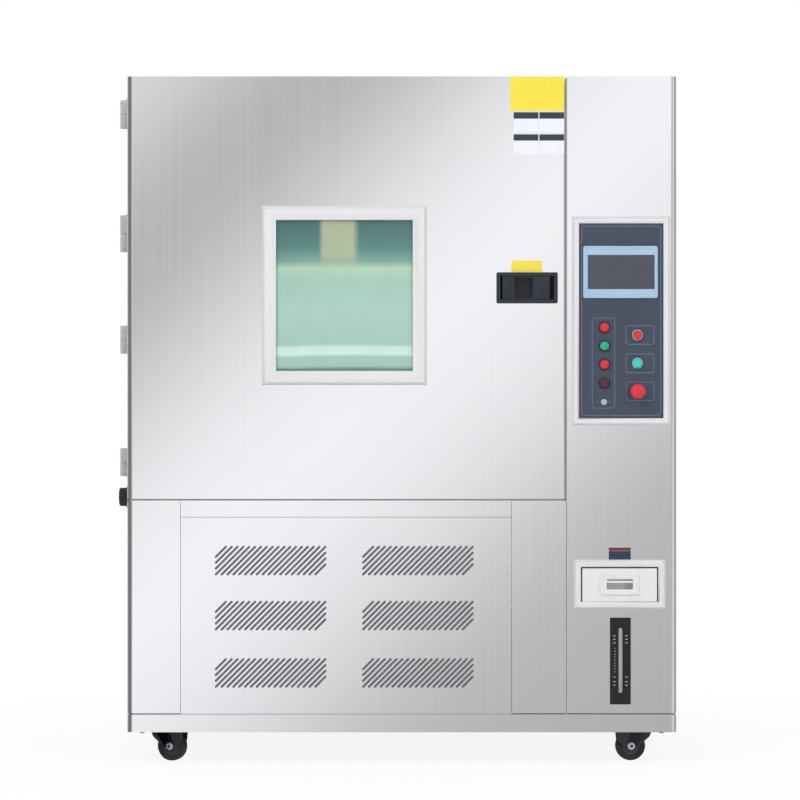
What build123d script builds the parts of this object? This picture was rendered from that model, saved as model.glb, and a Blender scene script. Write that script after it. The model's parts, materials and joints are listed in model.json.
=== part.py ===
from build123d import *
import os
from math import cos, radians, sin

os.makedirs("parts", exist_ok=True)

# Environmental test chamber: insulated cabinet with a hinged window door and a control column.
# Millimetres. X to the right, -Y is the front, Z up. The origin is the middle of the footprint
# on the floor. Sizes called "left" are measured from the cabinet's left side, depths from its front.

# Cabinet
cabinet_width = 1400
cabinet_depth = 1100
cabinet_height = 1750
sheet = 1.5
corner_radius = 14
fold = 20
seam = 1

# Base
skirt_bottom = 80
skirt_top = 128
skirt_wall = 2
ledge_thickness = 6
ledge_round = 4
frame_bottom = 105
frame_tube_height = 45
frame_tube_width = 50
floor_sheet = 2
post_size = 40
deck_height = 712
deck_thickness = 3
bolt_radius = 6.25
bolt_drop = 5.5
bolt_inset = 36

# Casters
wheel_radius = 38
wheel_width = 26
wheel_round = 3.5
caster_inset = 85
caster_trail = 28
caster_plate_size = 84
caster_plate_thickness = 4
raceway_radius = 27
raceway_height = 7
kingpin_radius = 8
kingpin_nut_radius = 13
kingpin_nut_height = 4
crown_radius = 31
crown_thickness = 8
fork_leg = 3
fork_side_gap = 1.5
fork_half_top = 23
fork_eye = 12
fork_sink = 4
axle_radius = 5
axle_head_radius = 8
axle_head_height = 5
swivel_gap = 0.3
shaft_clearance = 0.05

# Front layout
column_width = 280
column_left = cabinet_width - column_width
door_gap = 5
door_width = column_left - door_gap
door_bottom = 674
door_bottom_gap = 4
left_post_width = 136
right_post_width = 139
header_height = 42

# Grille
slot_width = 5.5
slot_pitch = 14.9
slot_end_bevel = 0.3
bank_height = 75.4
full_slots = 15
short_slots = 3
bank_spacing_share = 0.4454
bank_shift = -4.5
bank_centres_z = (231, 377, 517)
grille_fold = 12

# Door
door_thickness = 90
seal_gap = 8
plug_depth = 25
plug_clearance = 6
liner_sheet = 1.5
seal_width = 22
seal_squeeze = 0.3

# Window
window_shift = -3.5
window_centre_z = 1192
window_outer_width = 420
window_outer_height = 456
window_strip = 36
window_rise = 11
reveal_wall = 3
reveal_depth = 18
glass_setback = 4
glass_thickness = 6
inner_glass_thickness = 5
spacer_width = 10

# Inner tank
left_wall = 157.5
right_wall = 162.5
bottom_wall = 75
top_wall = 113
rear_space = 270
tank_sheet = 1.5
surround_sheet = 2
rear_board = 100
duct_space = 130
rail_width = 12
rail_depth = 20
rail_inset = 60
shelf_margin = 30
shelf_lifts = (233, 543)
shelf_rod_radius = 3
shelf_rod_pitch = 40
shelf_rim = 8

# Hinges
hinge_shares = ((0.0855, 72), (0.3783, 72), (0.632, 94), (0.9173, 72))
hinge_axis_out = 14
hinge_barrel_radius = 11
hinge_pin_radius = 6
hinge_leaf_thickness = 5
hinge_leaf_length = 45
hinge_leaf_start = 12

# Latch handle
handle_inset = 96
handle_centre_z = 1211.5
handle_width = 156
handle_height = 79
handle_rise = 9
handle_rim = 7
handle_depth = 24
handle_wall = 2.5
paddle_thickness = 6
paddle_pin_inset = 8
paddle_pin_radius = 2.5
paddle_gap = 1
finger_slot_width = 11
finger_hole_left = 36
finger_hole_width = 46.5
finger_hole_height = 53
latch_case_width = 46
latch_case_height = 48
latch_case_wall = 4
latch_case_overhang = 8
hook_inset = 11
keeper_inset = 27
hook_thickness = 12
hook_pin_radius = 4
hook_heel = 5
hook_back = 7
hook_throat = 2
hook_length = 19
keeper_pin_radius = 4
keeper_ear = 5
keeper_reach = 34
hook_clearance = 0.5

# Control column
frame_left = column_left + 13
frame_bottom_z = 861.5
frame_width = 251
frame_height = 532
frame_strip = 18
frame_rise = 8
panel_thickness = 3
hmi_centre_left = column_left + 136.5
hmi_centre_z = 1251.5
hmi_width = 190
hmi_height = 133
hmi_rise = 6
hmi_round = 6
screen_width = 169.5
screen_height = 86.6
screen_recess = 1.5
screen_shift = 1.5
bezel_bevel = 1.2
screen_thickness = 3
lamp_left = column_left + 96
lamp_heights = (1110.8, 1063.7, 1016.6, 969)
lamp_bezel_radius = 15
lamp_bezel_height = 4
lamp_lens_radius = 11.8
lamp_lens_height = 8
lamp_bevel = 2
key_left = column_left + 94.5
key_z = 920.6
key_radius = 6.5
key_bezel_radius = 8.5
key_bezel_height = 4
key_height = 7
key_grip_width = 3.5
key_grip_height = 5
button_left = column_left + 179.4
button_heights = (1091.5, 1019.6)
button_radius = 11
button_bezel_radius = 14.5
button_bezel_height = 7
button_bezel_floor = 1
button_rise = 3
button_travel = 3
button_side_gap = 0.3
button_bevel = 1
estop_z = 948
estop_radius = 19.5
estop_head_height = 14
estop_head_bevel = 5
estop_stem_radius = 9
estop_collar_radius = 14.5
estop_collar_height = 14
estop_collar_floor = 2
estop_travel = 5

# Drawer
drawer_left = column_left + 36
drawer_bottom = 413
drawer_width = 197
drawer_height = 88
drawer_frame_strip = 18.5
drawer_frame_rise = 8
drawer_sleeve_wall = 1.5
drawer_sleeve_depth = 230
drawer_side_gap = 3.5
drawer_runner_gap = 0.3
drawer_wall = 2
drawer_front = 6
drawer_travel = 150
drawer_stay = 55
pull_width = 100
pull_height = 55
pull_thickness = 4
pull_slot_width = 67
pull_slot_height = 26
pull_bar_radius = 5
pull_bar_lift = 6
pull_cup_depth = 22

# Level gauge
gauge_centre_left = column_left + 136.5
gauge_bottom = 151
gauge_width = 53
gauge_height = 221
gauge_thickness = 3
gauge_tube_width = 13
gauge_tube_bottom = 180
gauge_tube_top = 346
gauge_tube_rise = 6

# Water tank
water_tank_width = 200
water_tank_depth = 240
water_tank_height = 225
water_tank_setback = 60
water_pipe_radius = 7
water_pipe_inset = 14
water_tank_bevel = 10
water_cap_radius = 24
water_cap_height = 14

# Side port and cable gland
port_z = deck_height - 38
port_depth = 172
port_flange_radius = 32.5
port_flange_height = 14
port_cap_radius = 24
port_projection = 34
port_hole_radius = 22
port_stub_depth = 14
port_flange_bevel = 3
port_cap_bevel = 5
gland_radius = 14
gland_length = 24
gland_stub = 6
gland_z = 230
gland_left = column_left + 130

# Fans
impeller_radius = 110
impeller_width = 55
impeller_disc = 3
impeller_blades = 12
impeller_hub_radius = 20
fan_shaft_radius = 6
fan_drop_share = 0.185
fan_hole_radius = 14
motor_radius = 55
motor_length = 110
motor_flange = 130
motor_flange_thickness = 6
motor_bore_depth = 40
motor_bevel = 8
axial_radius = 130
axial_hub_radius = 28
axial_blades = 5
axial_blade_width = 60
axial_depth = 34
axial_setback = 10
axial_blade_tilt = 28
axial_blade_thickness = 2.5
shroud_clearance = 6
shroud_wall = 2
shroud_gap = 8
shroud_reach = 26
cooler_motor_setback = 10

# Refrigeration
condenser_left = 380
condenser_width = 400
condenser_height = 320
condenser_core = 50
condenser_setback = 75
compressor_left = column_left - 300
compressor_setback = 620
compressor_radius = 78
compressor_height = 220
coil_margin = 120
coil_height_share = 0.26
coil_depth = 50
coil_lift_share = 0.14
heater_gap = 40
heater_tube_radius = 5

# Placement of the cabinet on the origin
front_projection = panel_thickness + estop_collar_height + estop_travel + 1 + estop_head_height
x_left = -(cabinet_width + port_projection) / 2 + port_projection
y_front = -(cabinet_depth + front_projection + gland_length) / 2 + front_projection
roof_under = cabinet_height - sheet

lower_top = door_bottom - door_bottom_gap
frame_top = frame_bottom + frame_tube_height
floor_top = frame_top + floor_sheet
body_depth = door_thickness + seal_gap
tank_left = left_wall
tank_width = column_left - left_wall - right_wall
tank_bottom = deck_height + bottom_wall
tank_height = cabinet_height - tank_bottom - top_wall
tank_front = body_depth + surround_sheet
tank_depth = cabinet_depth - tank_front - rear_space
workspace_depth = tank_depth - duct_space
tank_rear = tank_front + tank_depth
tank_right = tank_left + tank_width
tank_top = tank_bottom + tank_height
shelf_heights = [tank_bottom + lift for lift in shelf_lifts]
fan_left = tank_left + tank_width / 2
fan_z = tank_top - fan_drop_share * tank_height
coil_width = tank_width - 2 * coil_margin
coil_height = coil_height_share * tank_height
coil_lift = coil_lift_share * tank_height
drawer_depth = drawer_travel + drawer_stay
window_centre_left = fan_left + window_shift
door_height = cabinet_height - door_bottom
hinge_positions = [(door_bottom + share * door_height, height) for share, height in hinge_shares]
handle_centre_left = door_width - handle_inset
panel_front = panel_thickness


def at_left(distance):
    """X of a point given by its distance from the cabinet's left side."""
    return x_left + distance


def at_depth(distance):
    """Y of a point given by its distance behind the cabinet's front."""
    return y_front + distance


def front_plane(depth):
    """Plane that faces forwards, with X to the right and Z up, at a depth behind the front."""
    return Plane(origin=(0, at_depth(depth), 0), x_dir=(1, 0, 0), z_dir=(0, -1, 0))


def block(left, right, near, far, bottom, top, mode=Mode.ADD):
    """Bar or sheet between two distances from the left, two depths and two heights."""
    middle = (at_left((left + right) / 2), at_depth((near + far) / 2), (bottom + top) / 2)
    with Locations(middle):
        Box(right - left, far - near, top - bottom, mode=mode)


def board(left, right, near, far, bottom, top):
    """One bar or sheet as a solid of its own."""
    with BuildPart() as piece:
        block(left, right, near, far, bottom, top)
    return piece.part


def save(part, name):
    """Label a finished piece and write its file."""
    part.label = name
    export_step(part, "parts/" + name + ".step")


# Base frame: a ring of tubes with cross tubes under a floor sheet, and levelling bolts.
frame_far = cabinet_depth - fold
frame_right = cabinet_width - fold
tube = frame_tube_width
middle_depth = (fold + frame_far) / 2
bay_edges = ((fold + tube, column_left - tube), (column_left, frame_right - tube))
bay_depths = ((fold + tube, middle_depth - tube / 2), (middle_depth + tube / 2, frame_far - tube))
tube_spans = [(fold, frame_right, near, near + tube) for near in (fold, frame_far - tube)]
tube_spans += [
    (left, left + tube, fold + tube, frame_far - tube)
    for left in (fold, column_left - tube, frame_right - tube)
]
tube_spans += [
    (left, right, middle_depth - tube / 2, middle_depth + tube / 2) for left, right in bay_edges
]
base_bars = [board(*span, frame_bottom, frame_top) for span in tube_spans]
base_bars.append(board(fold, frame_right, fold, frame_far, frame_top, floor_top))
bolt_places = [
    (at_left(left), at_depth(depth))
    for left in (bolt_inset, cabinet_width - bolt_inset)
    for depth in (bolt_inset, cabinet_depth - bolt_inset)
]
for bolt_place in bolt_places:
    with BuildPart() as levelling_bolt:
        with BuildSketch(Plane.XY.offset(skirt_bottom - bolt_drop)):
            with Locations(bolt_place):
                RegularPolygon(bolt_radius, 6)
        extrude(amount=frame_bottom - skirt_bottom + bolt_drop)
    base_bars.append(levelling_bolt.part)
save(Compound(children=base_bars), "base_frame")

# Base skirt: rail around the base with a rounded ledge that the outer panels stand on.
with BuildPart() as base_skirt:
    centre = (at_left(cabinet_width / 2), at_depth(cabinet_depth / 2))
    with BuildSketch(Plane.XY.offset(skirt_bottom)):
        with Locations(centre):
            RectangleRounded(cabinet_width, cabinet_depth, corner_radius)
            RectangleRounded(
                cabinet_width - 2 * skirt_wall,
                cabinet_depth - 2 * skirt_wall,
                corner_radius - skirt_wall,
                mode=Mode.SUBTRACT,
            )
    extrude(amount=skirt_top - skirt_bottom)
    with BuildSketch(Plane.XY.offset(skirt_top)):
        with Locations(centre):
            RectangleRounded(cabinet_width, cabinet_depth, corner_radius)
            Rectangle(cabinet_width - 2 * fold, cabinet_depth - 2 * fold, mode=Mode.SUBTRACT)
    extrude(amount=-ledge_thickness)
    top_face = base_skirt.faces().filter_by(Axis.Z).sort_by(Axis.Z)[-1]
    chamfer(top_face.outer_wire().edges(), length=ledge_round)
save(base_skirt.part, "base_skirt")

# Inner frame: four posts on the base that carry the deck under the tank.
deck_bottom = deck_height - deck_thickness
frame_bars = [
    board(left, left + post_size, near, near + post_size, floor_top, deck_bottom)
    for left in (fold, column_left - post_size)
    for near in (tank_front, cabinet_depth - fold - post_size)
]
frame_bars.append(
    board(sheet, column_left, tank_front, cabinet_depth - sheet, deck_bottom, deck_height)
)
save(Compound(children=frame_bars), "inner_frame")

# Lower surround: left post, right post, header and the ledge under the door.
with BuildPart() as left_post:
    with BuildSketch(Plane.XY.offset(skirt_top)):
        with BuildLine():
            outer = FilletPolyline(
                (at_left(0), at_depth(fold)),
                (at_left(0), at_depth(0)),
                (at_left(left_post_width), at_depth(0)),
                radius=corner_radius,
            )
            inner = FilletPolyline(
                (at_left(sheet), at_depth(fold)),
                (at_left(sheet), at_depth(sheet)),
                (at_left(left_post_width), at_depth(sheet)),
                radius=corner_radius - sheet,
            )
            Line(outer @ 0, inner @ 0)
            Line(outer @ 1, inner @ 1)
        make_face()
    extrude(amount=lower_top - skirt_top)
    block(
        left_post_width - sheet, left_post_width, sheet, fold, skirt_top, lower_top - sheet
    )

right_post_left = column_left - seam - right_post_width
with BuildPart() as right_post:
    block(right_post_left, right_post_left + right_post_width, 0, fold, skirt_top, lower_top)
    block(
        right_post_left + sheet, right_post_left + right_post_width - sheet,
        sheet, fold, skirt_top, lower_top, mode=Mode.SUBTRACT,
    )

header_bottom = lower_top - header_height
header_left = left_post_width + seam
header_right = right_post_left - seam
with BuildPart() as header:
    block(header_left, header_right, 0, fold, header_bottom, lower_top)
    block(header_left, header_right, sheet, fold, header_bottom + sheet, lower_top, mode=Mode.SUBTRACT)

with BuildPart() as door_ledge:
    with BuildSketch(Plane.XY.offset(lower_top - sheet)):
        with BuildLine():
            Polyline(
                (at_left(corner_radius), at_depth(sheet)),
                (at_left(right_post_left), at_depth(sheet)),
                (at_left(right_post_left), at_depth(fold)),
                (at_left(column_left), at_depth(fold)),
                (at_left(column_left), at_depth(body_depth)),
                (at_left(sheet), at_depth(body_depth)),
                (at_left(sheet), at_depth(corner_radius)),
                close=True,
            )
        make_face()
    extrude(amount=sheet)
lower_surround = Compound(
    children=[left_post.part, right_post.part, header.part, door_ledge.part]
)
save(lower_surround, "lower_surround")

# Grille panel: folded sheet with six banks of diagonal slots.
grille_left = header_left
grille_right = header_right
grille_bottom = skirt_top
grille_top = header_bottom - seam
bank_width = (full_slots - 1) * slot_pitch + bank_height
full_run = bank_height - slot_width
bank_spacing = bank_spacing_share * (grille_right - grille_left)
bank_middle = (grille_left + grille_right) / 2 + bank_shift
bank_left_edges = [bank_middle + side * bank_spacing / 2 - bank_width / 2 for side in (-1, 1)]
with BuildPart() as grille_panel:
    block(grille_left, grille_right, 0, grille_fold, grille_bottom, grille_top)
    block(
        grille_left + sheet, grille_right - sheet, sheet, grille_fold,
        grille_bottom + sheet, grille_top - sheet, mode=Mode.SUBTRACT,
    )
    with BuildSketch(front_plane(sheet)) as slots:
        for bank_left in bank_left_edges:
            for bank_z in bank_centres_z:
                bank_base = bank_z - bank_height / 2
                for row in range(-short_slots, full_slots + short_slots):
                    missing = max(0, -row, row - full_slots + 1) * slot_pitch
                    run = full_run - missing
                    start_x = bank_left + max(0, row) * slot_pitch
                    start_z = bank_base + max(0, -row) * slot_pitch
                    centre = (
                        at_left(start_x + slot_width / 2 + run / 2),
                        start_z + slot_width / 2 + run / 2,
                    )
                    with Locations(centre):
                        Rectangle(run / cos(radians(45)) + slot_width, slot_width, rotation=45)
        chamfer(slots.vertices(), length=slot_width * slot_end_bevel)
    extrude(amount=sheet, mode=Mode.SUBTRACT)
save(grille_panel.part, "grille_panel")

# Left side panel: one sheet with a notch for the door's depth and a round port hole.
with BuildPart() as left_side_panel:
    with BuildSketch(Plane(origin=(x_left, 0, 0), x_dir=(0, 1, 0), z_dir=(1, 0, 0))):
        with BuildLine():
            Polyline(
                (at_depth(fold), skirt_top),
                (at_depth(cabinet_depth), skirt_top),
                (at_depth(cabinet_depth), roof_under),
                (at_depth(body_depth), roof_under),
                (at_depth(body_depth), lower_top),
                (at_depth(fold), lower_top),
                close=True,
            )
        make_face()
        with Locations((at_depth(port_depth), port_z)):
            Circle(port_hole_radius, mode=Mode.SUBTRACT)
    extrude(amount=sheet)
save(left_side_panel.part, "left_side_panel")

# Right side panel: one plain sheet behind the column's folded edge.
with BuildPart() as right_side_panel:
    block(cabinet_width - sheet, cabinet_width, fold, cabinet_depth, skirt_top, roof_under)
save(right_side_panel.part, "right_side_panel")

# Top panel: roof sheet that also covers the column, open over the door.
with BuildPart() as top_panel:
    with BuildSketch(Plane.XY.offset(roof_under)) as roof:
        with BuildLine():
            Polyline(
                (at_left(0), at_depth(body_depth)),
                (at_left(column_left), at_depth(body_depth)),
                (at_left(column_left), at_depth(0)),
                (at_left(cabinet_width), at_depth(0)),
                (at_left(cabinet_width), at_depth(cabinet_depth)),
                (at_left(0), at_depth(cabinet_depth)),
                close=True,
            )
        make_face()
        front_right = roof.vertices().filter_by_position(
            Axis.Y, at_depth(0) - seam, at_depth(0) + seam
        ).sort_by(Axis.X)[-1]
        fillet(front_right, radius=corner_radius)
    extrude(amount=sheet)
save(top_panel.part, "top_panel")

# Rear panels: upper sheet behind the tank and lower sheet with vent slots.
vent_length = 300
vent_height = 8
vent_pitch = 26
vent_rows = 8
vent_centre_z = 420
with BuildPart() as rear_upper:
    block(
        sheet, cabinet_width - sheet, cabinet_depth - sheet, cabinet_depth,
        deck_height + seam, roof_under,
    )
with BuildPart() as rear_lower:
    block(sheet, cabinet_width - sheet, cabinet_depth - sheet, cabinet_depth, skirt_top, deck_height)
    with BuildSketch(front_plane(cabinet_depth)) as vents:
        with Locations((at_left(condenser_left), vent_centre_z), (at_left(compressor_left), vent_centre_z)):
            with GridLocations(1, vent_pitch, 1, vent_rows):
                Rectangle(vent_length, vent_height)
        chamfer(vents.vertices(), length=vent_height * slot_end_bevel)
        with Locations((at_left(gland_left), gland_z)):
            Circle(gland_radius - sheet)
    extrude(amount=sheet, mode=Mode.SUBTRACT)
save(Compound(children=[rear_upper.part, rear_lower.part]), "rear_panels")

# Door surround: the cabinet's front face behind the door, with the tank mouth.
with BuildPart() as door_surround:
    block(sheet, column_left, body_depth, tank_front, lower_top - sheet, roof_under)
    block(
        tank_left, tank_right, body_depth, tank_front, tank_bottom, tank_top, mode=Mode.SUBTRACT
    )
save(door_surround.part, "door_surround")

# Inner tank: open stainless box with shelf rails and a hole for the fan shaft.
tank_back = tank_rear - tank_sheet
tank_sheets = [
    board(wall, wall + tank_sheet, tank_front, tank_back, tank_bottom, tank_top)
    for wall in (tank_left - tank_sheet, tank_right)
]
tank_sheets += [
    board(
        tank_left - tank_sheet, tank_right + tank_sheet, tank_front, tank_back,
        level, level + tank_sheet,
    )
    for level in (tank_bottom - tank_sheet, tank_top)
]
rail_depths = (tank_front + rail_inset, tank_front + workspace_depth - rail_inset - rail_depth)
tank_sheets += [
    board(wall, wall + rail_width, near, near + rail_depth, tank_bottom, tank_top)
    for wall in (tank_left, tank_right - rail_width)
    for near in rail_depths
]
with BuildPart() as tank_back_sheet:
    block(
        tank_left - tank_sheet, tank_right + tank_sheet, tank_back, tank_rear,
        tank_bottom - tank_sheet, tank_top + tank_sheet,
    )
    with BuildSketch(front_plane(tank_rear)):
        with Locations((at_left(fan_left), fan_z)):
            RegularPolygon(fan_hole_radius, 16)
    extrude(amount=tank_sheet, mode=Mode.SUBTRACT)
save(Compound(children=tank_sheets + [tank_back_sheet.part]), "inner_tank")

# Shelves: a rim of bars on the rails with rods across.
shelf_left = tank_left + rail_width
shelf_right = tank_right - rail_width
shelf_near = tank_front + shelf_margin
shelf_far = tank_front + workspace_depth - shelf_margin
with BuildPart() as shelves:
    for shelf_z in shelf_heights:
        block(shelf_left, shelf_right, shelf_near, shelf_far, shelf_z, shelf_z + shelf_rim)
        block(
            shelf_left + shelf_rim, shelf_right - shelf_rim,
            shelf_near + shelf_rim, shelf_far - shelf_rim,
            shelf_z, shelf_z + shelf_rim, mode=Mode.SUBTRACT,
        )
        rod_count = int((shelf_right - shelf_left - 2 * shelf_rim) / shelf_rod_pitch)
        with BuildSketch(front_plane(shelf_far - shelf_rim)):
            with Locations((at_left((shelf_left + shelf_right) / 2), shelf_z + shelf_rim / 2)):
                with GridLocations(shelf_rod_pitch, 1, rod_count, 1):
                    RegularPolygon(shelf_rod_radius, 6)
        extrude(amount=shelf_far - shelf_near - 2 * shelf_rim)
save(shelves.part, "shelves")

# Insulation boards: left, right, top, bottom and rear, with a hole for the fan shaft.
board_far = tank_rear + rear_board
side_boards = [
    board(left, right, tank_front, tank_rear, deck_height, roof_under)
    for left, right in ((sheet, tank_left - tank_sheet), (tank_right + tank_sheet, column_left))
]
level_boards = [
    board(tank_left - tank_sheet, tank_right + tank_sheet, tank_front, tank_rear, bottom, top)
    for bottom, top in ((tank_top + tank_sheet, roof_under), (deck_height, tank_bottom - tank_sheet))
]
with BuildPart() as back_board:
    block(sheet, column_left, tank_rear, board_far, deck_height, roof_under)
    with BuildSketch(front_plane(board_far)):
        with Locations((at_left(fan_left), fan_z)):
            RegularPolygon(fan_hole_radius, 16)
    extrude(amount=rear_board, mode=Mode.SUBTRACT)
save(Compound(children=side_boards + level_boards + [back_board.part]), "insulation_boards")

# Air duct panel: rear wall of the workspace with outlet slots above and inlet slots below.
duct_near = tank_front + workspace_depth
duct_edge = 50
duct_slot_gap = 25
duct_slot_count = 5
duct_slot_length = (tank_width - 2 * duct_edge + duct_slot_gap) / duct_slot_count - duct_slot_gap
duct_slot_height = 12
duct_slot_drop = 70
with BuildPart() as air_duct_panel:
    block(tank_left, tank_right, duct_near, duct_near + tank_sheet, tank_bottom, tank_top)
    with BuildSketch(front_plane(duct_near + tank_sheet)):
        with Locations(
            (at_left(fan_left), tank_top - duct_slot_drop),
            (at_left(fan_left), tank_bottom + duct_slot_drop),
        ):
            with GridLocations(
                duct_slot_length + duct_slot_gap, 2 * duct_slot_height, duct_slot_count, 3
            ):
                Rectangle(duct_slot_length, duct_slot_height)
    extrude(amount=tank_sheet, mode=Mode.SUBTRACT)
save(air_duct_panel.part, "air_duct_panel")

# Air coils: finned evaporator with return bends, and a heater rod above it.
duct_far = tank_rear - tank_sheet
coil_far = duct_far
coil_near = coil_far - coil_depth
coil_bottom = tank_bottom + coil_lift
coil_left = fan_left - coil_width / 2
coil_plate = 4
bend_pitch = coil_height / 5
bend_radius = 6
with BuildPart() as evaporator:
    block(
        coil_left, coil_left + coil_width, coil_near, coil_far,
        coil_bottom, coil_bottom + coil_height,
    )
    for plate_left in (coil_left - coil_plate, coil_left + coil_width):
        block(
            plate_left, plate_left + coil_plate, coil_near - coil_plate, coil_far,
            coil_bottom - coil_plate, coil_bottom + coil_height + coil_plate,
        )
    for edge, turn in ((coil_left - coil_plate, 1), (coil_left + coil_width + coil_plate, -1)):
        for bend in range(2):
            bend_z = coil_bottom + bend_pitch * (1.5 + 2 * bend)
            bend_plane = Plane(
                origin=(at_left(edge), at_depth((coil_near + coil_far) / 2), bend_z),
                x_dir=(0, 0, 1), z_dir=(-turn, 0, 0),
            )
            with BuildSketch(bend_plane):
                with Locations((bend_pitch / 2, 0)):
                    RegularPolygon(bend_radius, 6)
            revolve(axis=Axis(bend_plane.origin, (0, -turn, 0)), revolution_arc=180)
heater_left = fan_left - coil_width / 2
heater_right = fan_left + coil_width / 2
heater_base = coil_bottom + coil_height + heater_gap
heater_depth = coil_far - heater_tube_radius
heater_pitch = 34
with BuildPart() as heater:
    with BuildLine(front_plane(heater_depth)) as heater_path:
        FilletPolyline(
            (at_left(heater_left), heater_base),
            (at_left(heater_right), heater_base),
            (at_left(heater_right), heater_base + heater_pitch),
            (at_left(heater_left), heater_base + heater_pitch),
            (at_left(heater_left), heater_base + 2 * heater_pitch),
            (at_left(heater_right), heater_base + 2 * heater_pitch),
            radius=heater_pitch / 2 - 1,
        )
    with BuildSketch(
        Plane(origin=heater_path.line @ 0, x_dir=(0, 1, 0), z_dir=(1, 0, 0))
    ):
        RegularPolygon(heater_tube_radius, 6, major_radius=False, rotation=30)
    sweep(path=heater_path.line)
save(Compound(children=[evaporator.part, heater.part]), "air_coils")

# Fan motor on the rear board, with a bore for the fan shaft.
motor_near = board_far
with BuildPart() as fan_motor:
    with BuildSketch(front_plane(motor_near)):
        with Locations((at_left(fan_left), fan_z)):
            Rectangle(motor_flange, motor_flange)
    extrude(amount=-motor_flange_thickness)
    with BuildSketch(front_plane(motor_near + motor_flange_thickness)):
        with Locations((at_left(fan_left), fan_z)):
            RegularPolygon(motor_radius, 24)
    extrude(amount=-motor_length)
    chamfer(fan_motor.faces().sort_by(Axis.Y)[-1].edges(), length=motor_bevel)
    with BuildSketch(front_plane(motor_near)):
        with Locations((at_left(fan_left), fan_z)):
            Circle(fan_shaft_radius + shaft_clearance)
    extrude(amount=-motor_bore_depth, mode=Mode.SUBTRACT)
save(fan_motor.part, "fan_motor")

# Fan impeller: back disc, hub, blades and front ring on a shaft through the rear wall.
impeller_far = duct_far - 20
impeller_near = impeller_far - impeller_width
with BuildPart() as fan_impeller:
    with BuildSketch(front_plane(impeller_far)):
        with Locations((at_left(fan_left), fan_z)):
            RegularPolygon(impeller_radius, 36)
    extrude(amount=impeller_disc)
    with BuildSketch(front_plane(impeller_near + impeller_disc)):
        with Locations((at_left(fan_left), fan_z)):
            RegularPolygon(impeller_radius, 36)
            RegularPolygon(impeller_radius * 0.7, 36, mode=Mode.SUBTRACT)
    extrude(amount=impeller_disc)
    with BuildSketch(front_plane(impeller_far - impeller_disc)):
        with Locations((at_left(fan_left), fan_z)):
            with PolarLocations(impeller_radius * 0.84, impeller_blades):
                Rectangle(impeller_radius * 0.28, impeller_disc, rotation=35)
    extrude(amount=impeller_width - 2 * impeller_disc)
    with BuildSketch(front_plane(impeller_far)):
        with Locations((at_left(fan_left), fan_z)):
            RegularPolygon(impeller_hub_radius, 16)
    extrude(amount=impeller_width * 0.6)
    with BuildSketch(front_plane(impeller_far)):
        with Locations((at_left(fan_left), fan_z)):
            Circle(fan_shaft_radius)
    extrude(amount=-(motor_near + motor_bore_depth - 1 - impeller_far))
save(fan_impeller.part, "fan_impeller")

# Compressor: domed hermetic housing on a foot plate, with two pipe stubs.
compressor_foot = 6
foot_size = 2 * compressor_radius + 20
dome_slope = compressor_radius * 0.3
stub_radius = 7
stub_spacing = 50
stub_length = 34
with BuildPart() as compressor:
    compressor_place = (at_left(compressor_left), at_depth(compressor_setback))
    with BuildSketch(Plane.XY.offset(floor_top)):
        with Locations(compressor_place):
            Rectangle(foot_size, foot_size * 0.7)
    extrude(amount=compressor_foot)
    with BuildSketch(Plane.XY.offset(floor_top + compressor_foot)):
        with Locations(compressor_place):
            RegularPolygon(compressor_radius, 20)
    extrude(amount=compressor_height)
    chamfer(compressor.faces().sort_by(Axis.Z)[-1].edges(), length=dome_slope)
    with BuildSketch(Plane.XY.offset(floor_top + compressor_foot + compressor_height - 1)):
        with Locations(compressor_place):
            with GridLocations(stub_spacing, 1, 2, 1):
                RegularPolygon(stub_radius, 8)
    extrude(amount=stub_length)
save(compressor.part, "compressor")

# Condenser: finned core on side plates, fan shroud and a motor on struts.
core_half = condenser_width / 2
core_near = condenser_setback
core_far = core_near + condenser_core
shroud_depth = axial_depth + shroud_reach
condenser_z = floor_top + condenser_height / 2
shroud_far = core_far + shroud_depth
cooler_motor_radius = 34
cooler_motor_length = 60
side_plate = 3
strut_width = 18
with BuildPart() as condenser:
    block(
        condenser_left - core_half, condenser_left + core_half, core_near, core_far,
        floor_top + shroud_gap, floor_top + condenser_height,
    )
    for edge in (condenser_left - core_half - side_plate, condenser_left + core_half):
        block(
            edge, edge + side_plate, core_near - side_plate, shroud_far,
            floor_top, floor_top + condenser_height,
        )
    block(
        condenser_left - core_half, condenser_left + core_half,
        core_far + shroud_gap, core_far + shroud_gap + shroud_wall,
        floor_top, floor_top + condenser_height,
    )
    with BuildSketch(front_plane(shroud_far)):
        with Locations((at_left(condenser_left), condenser_z)):
            RegularPolygon(axial_radius + shroud_clearance + shroud_wall, 36)
    extrude(amount=shroud_depth - shroud_gap)
    with BuildSketch(front_plane(shroud_far)):
        with Locations((at_left(condenser_left), condenser_z)):
            RegularPolygon(axial_radius + shroud_clearance, 36)
    extrude(amount=shroud_depth, mode=Mode.SUBTRACT)
    block(
        condenser_left - core_half, condenser_left + core_half, shroud_far - shroud_wall, shroud_far,
        condenser_z - strut_width / 2, condenser_z + strut_width / 2,
    )
    with BuildSketch(front_plane(shroud_far - cooler_motor_setback)):
        with Locations((at_left(condenser_left), condenser_z)):
            RegularPolygon(cooler_motor_radius, 20)
    extrude(amount=-cooler_motor_length)
    with BuildSketch(front_plane(shroud_far - cooler_motor_setback)):
        with Locations((at_left(condenser_left), condenser_z)):
            Circle(fan_shaft_radius + shaft_clearance)
    extrude(amount=-motor_bore_depth, mode=Mode.SUBTRACT)
save(condenser.part, "condenser")

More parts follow.
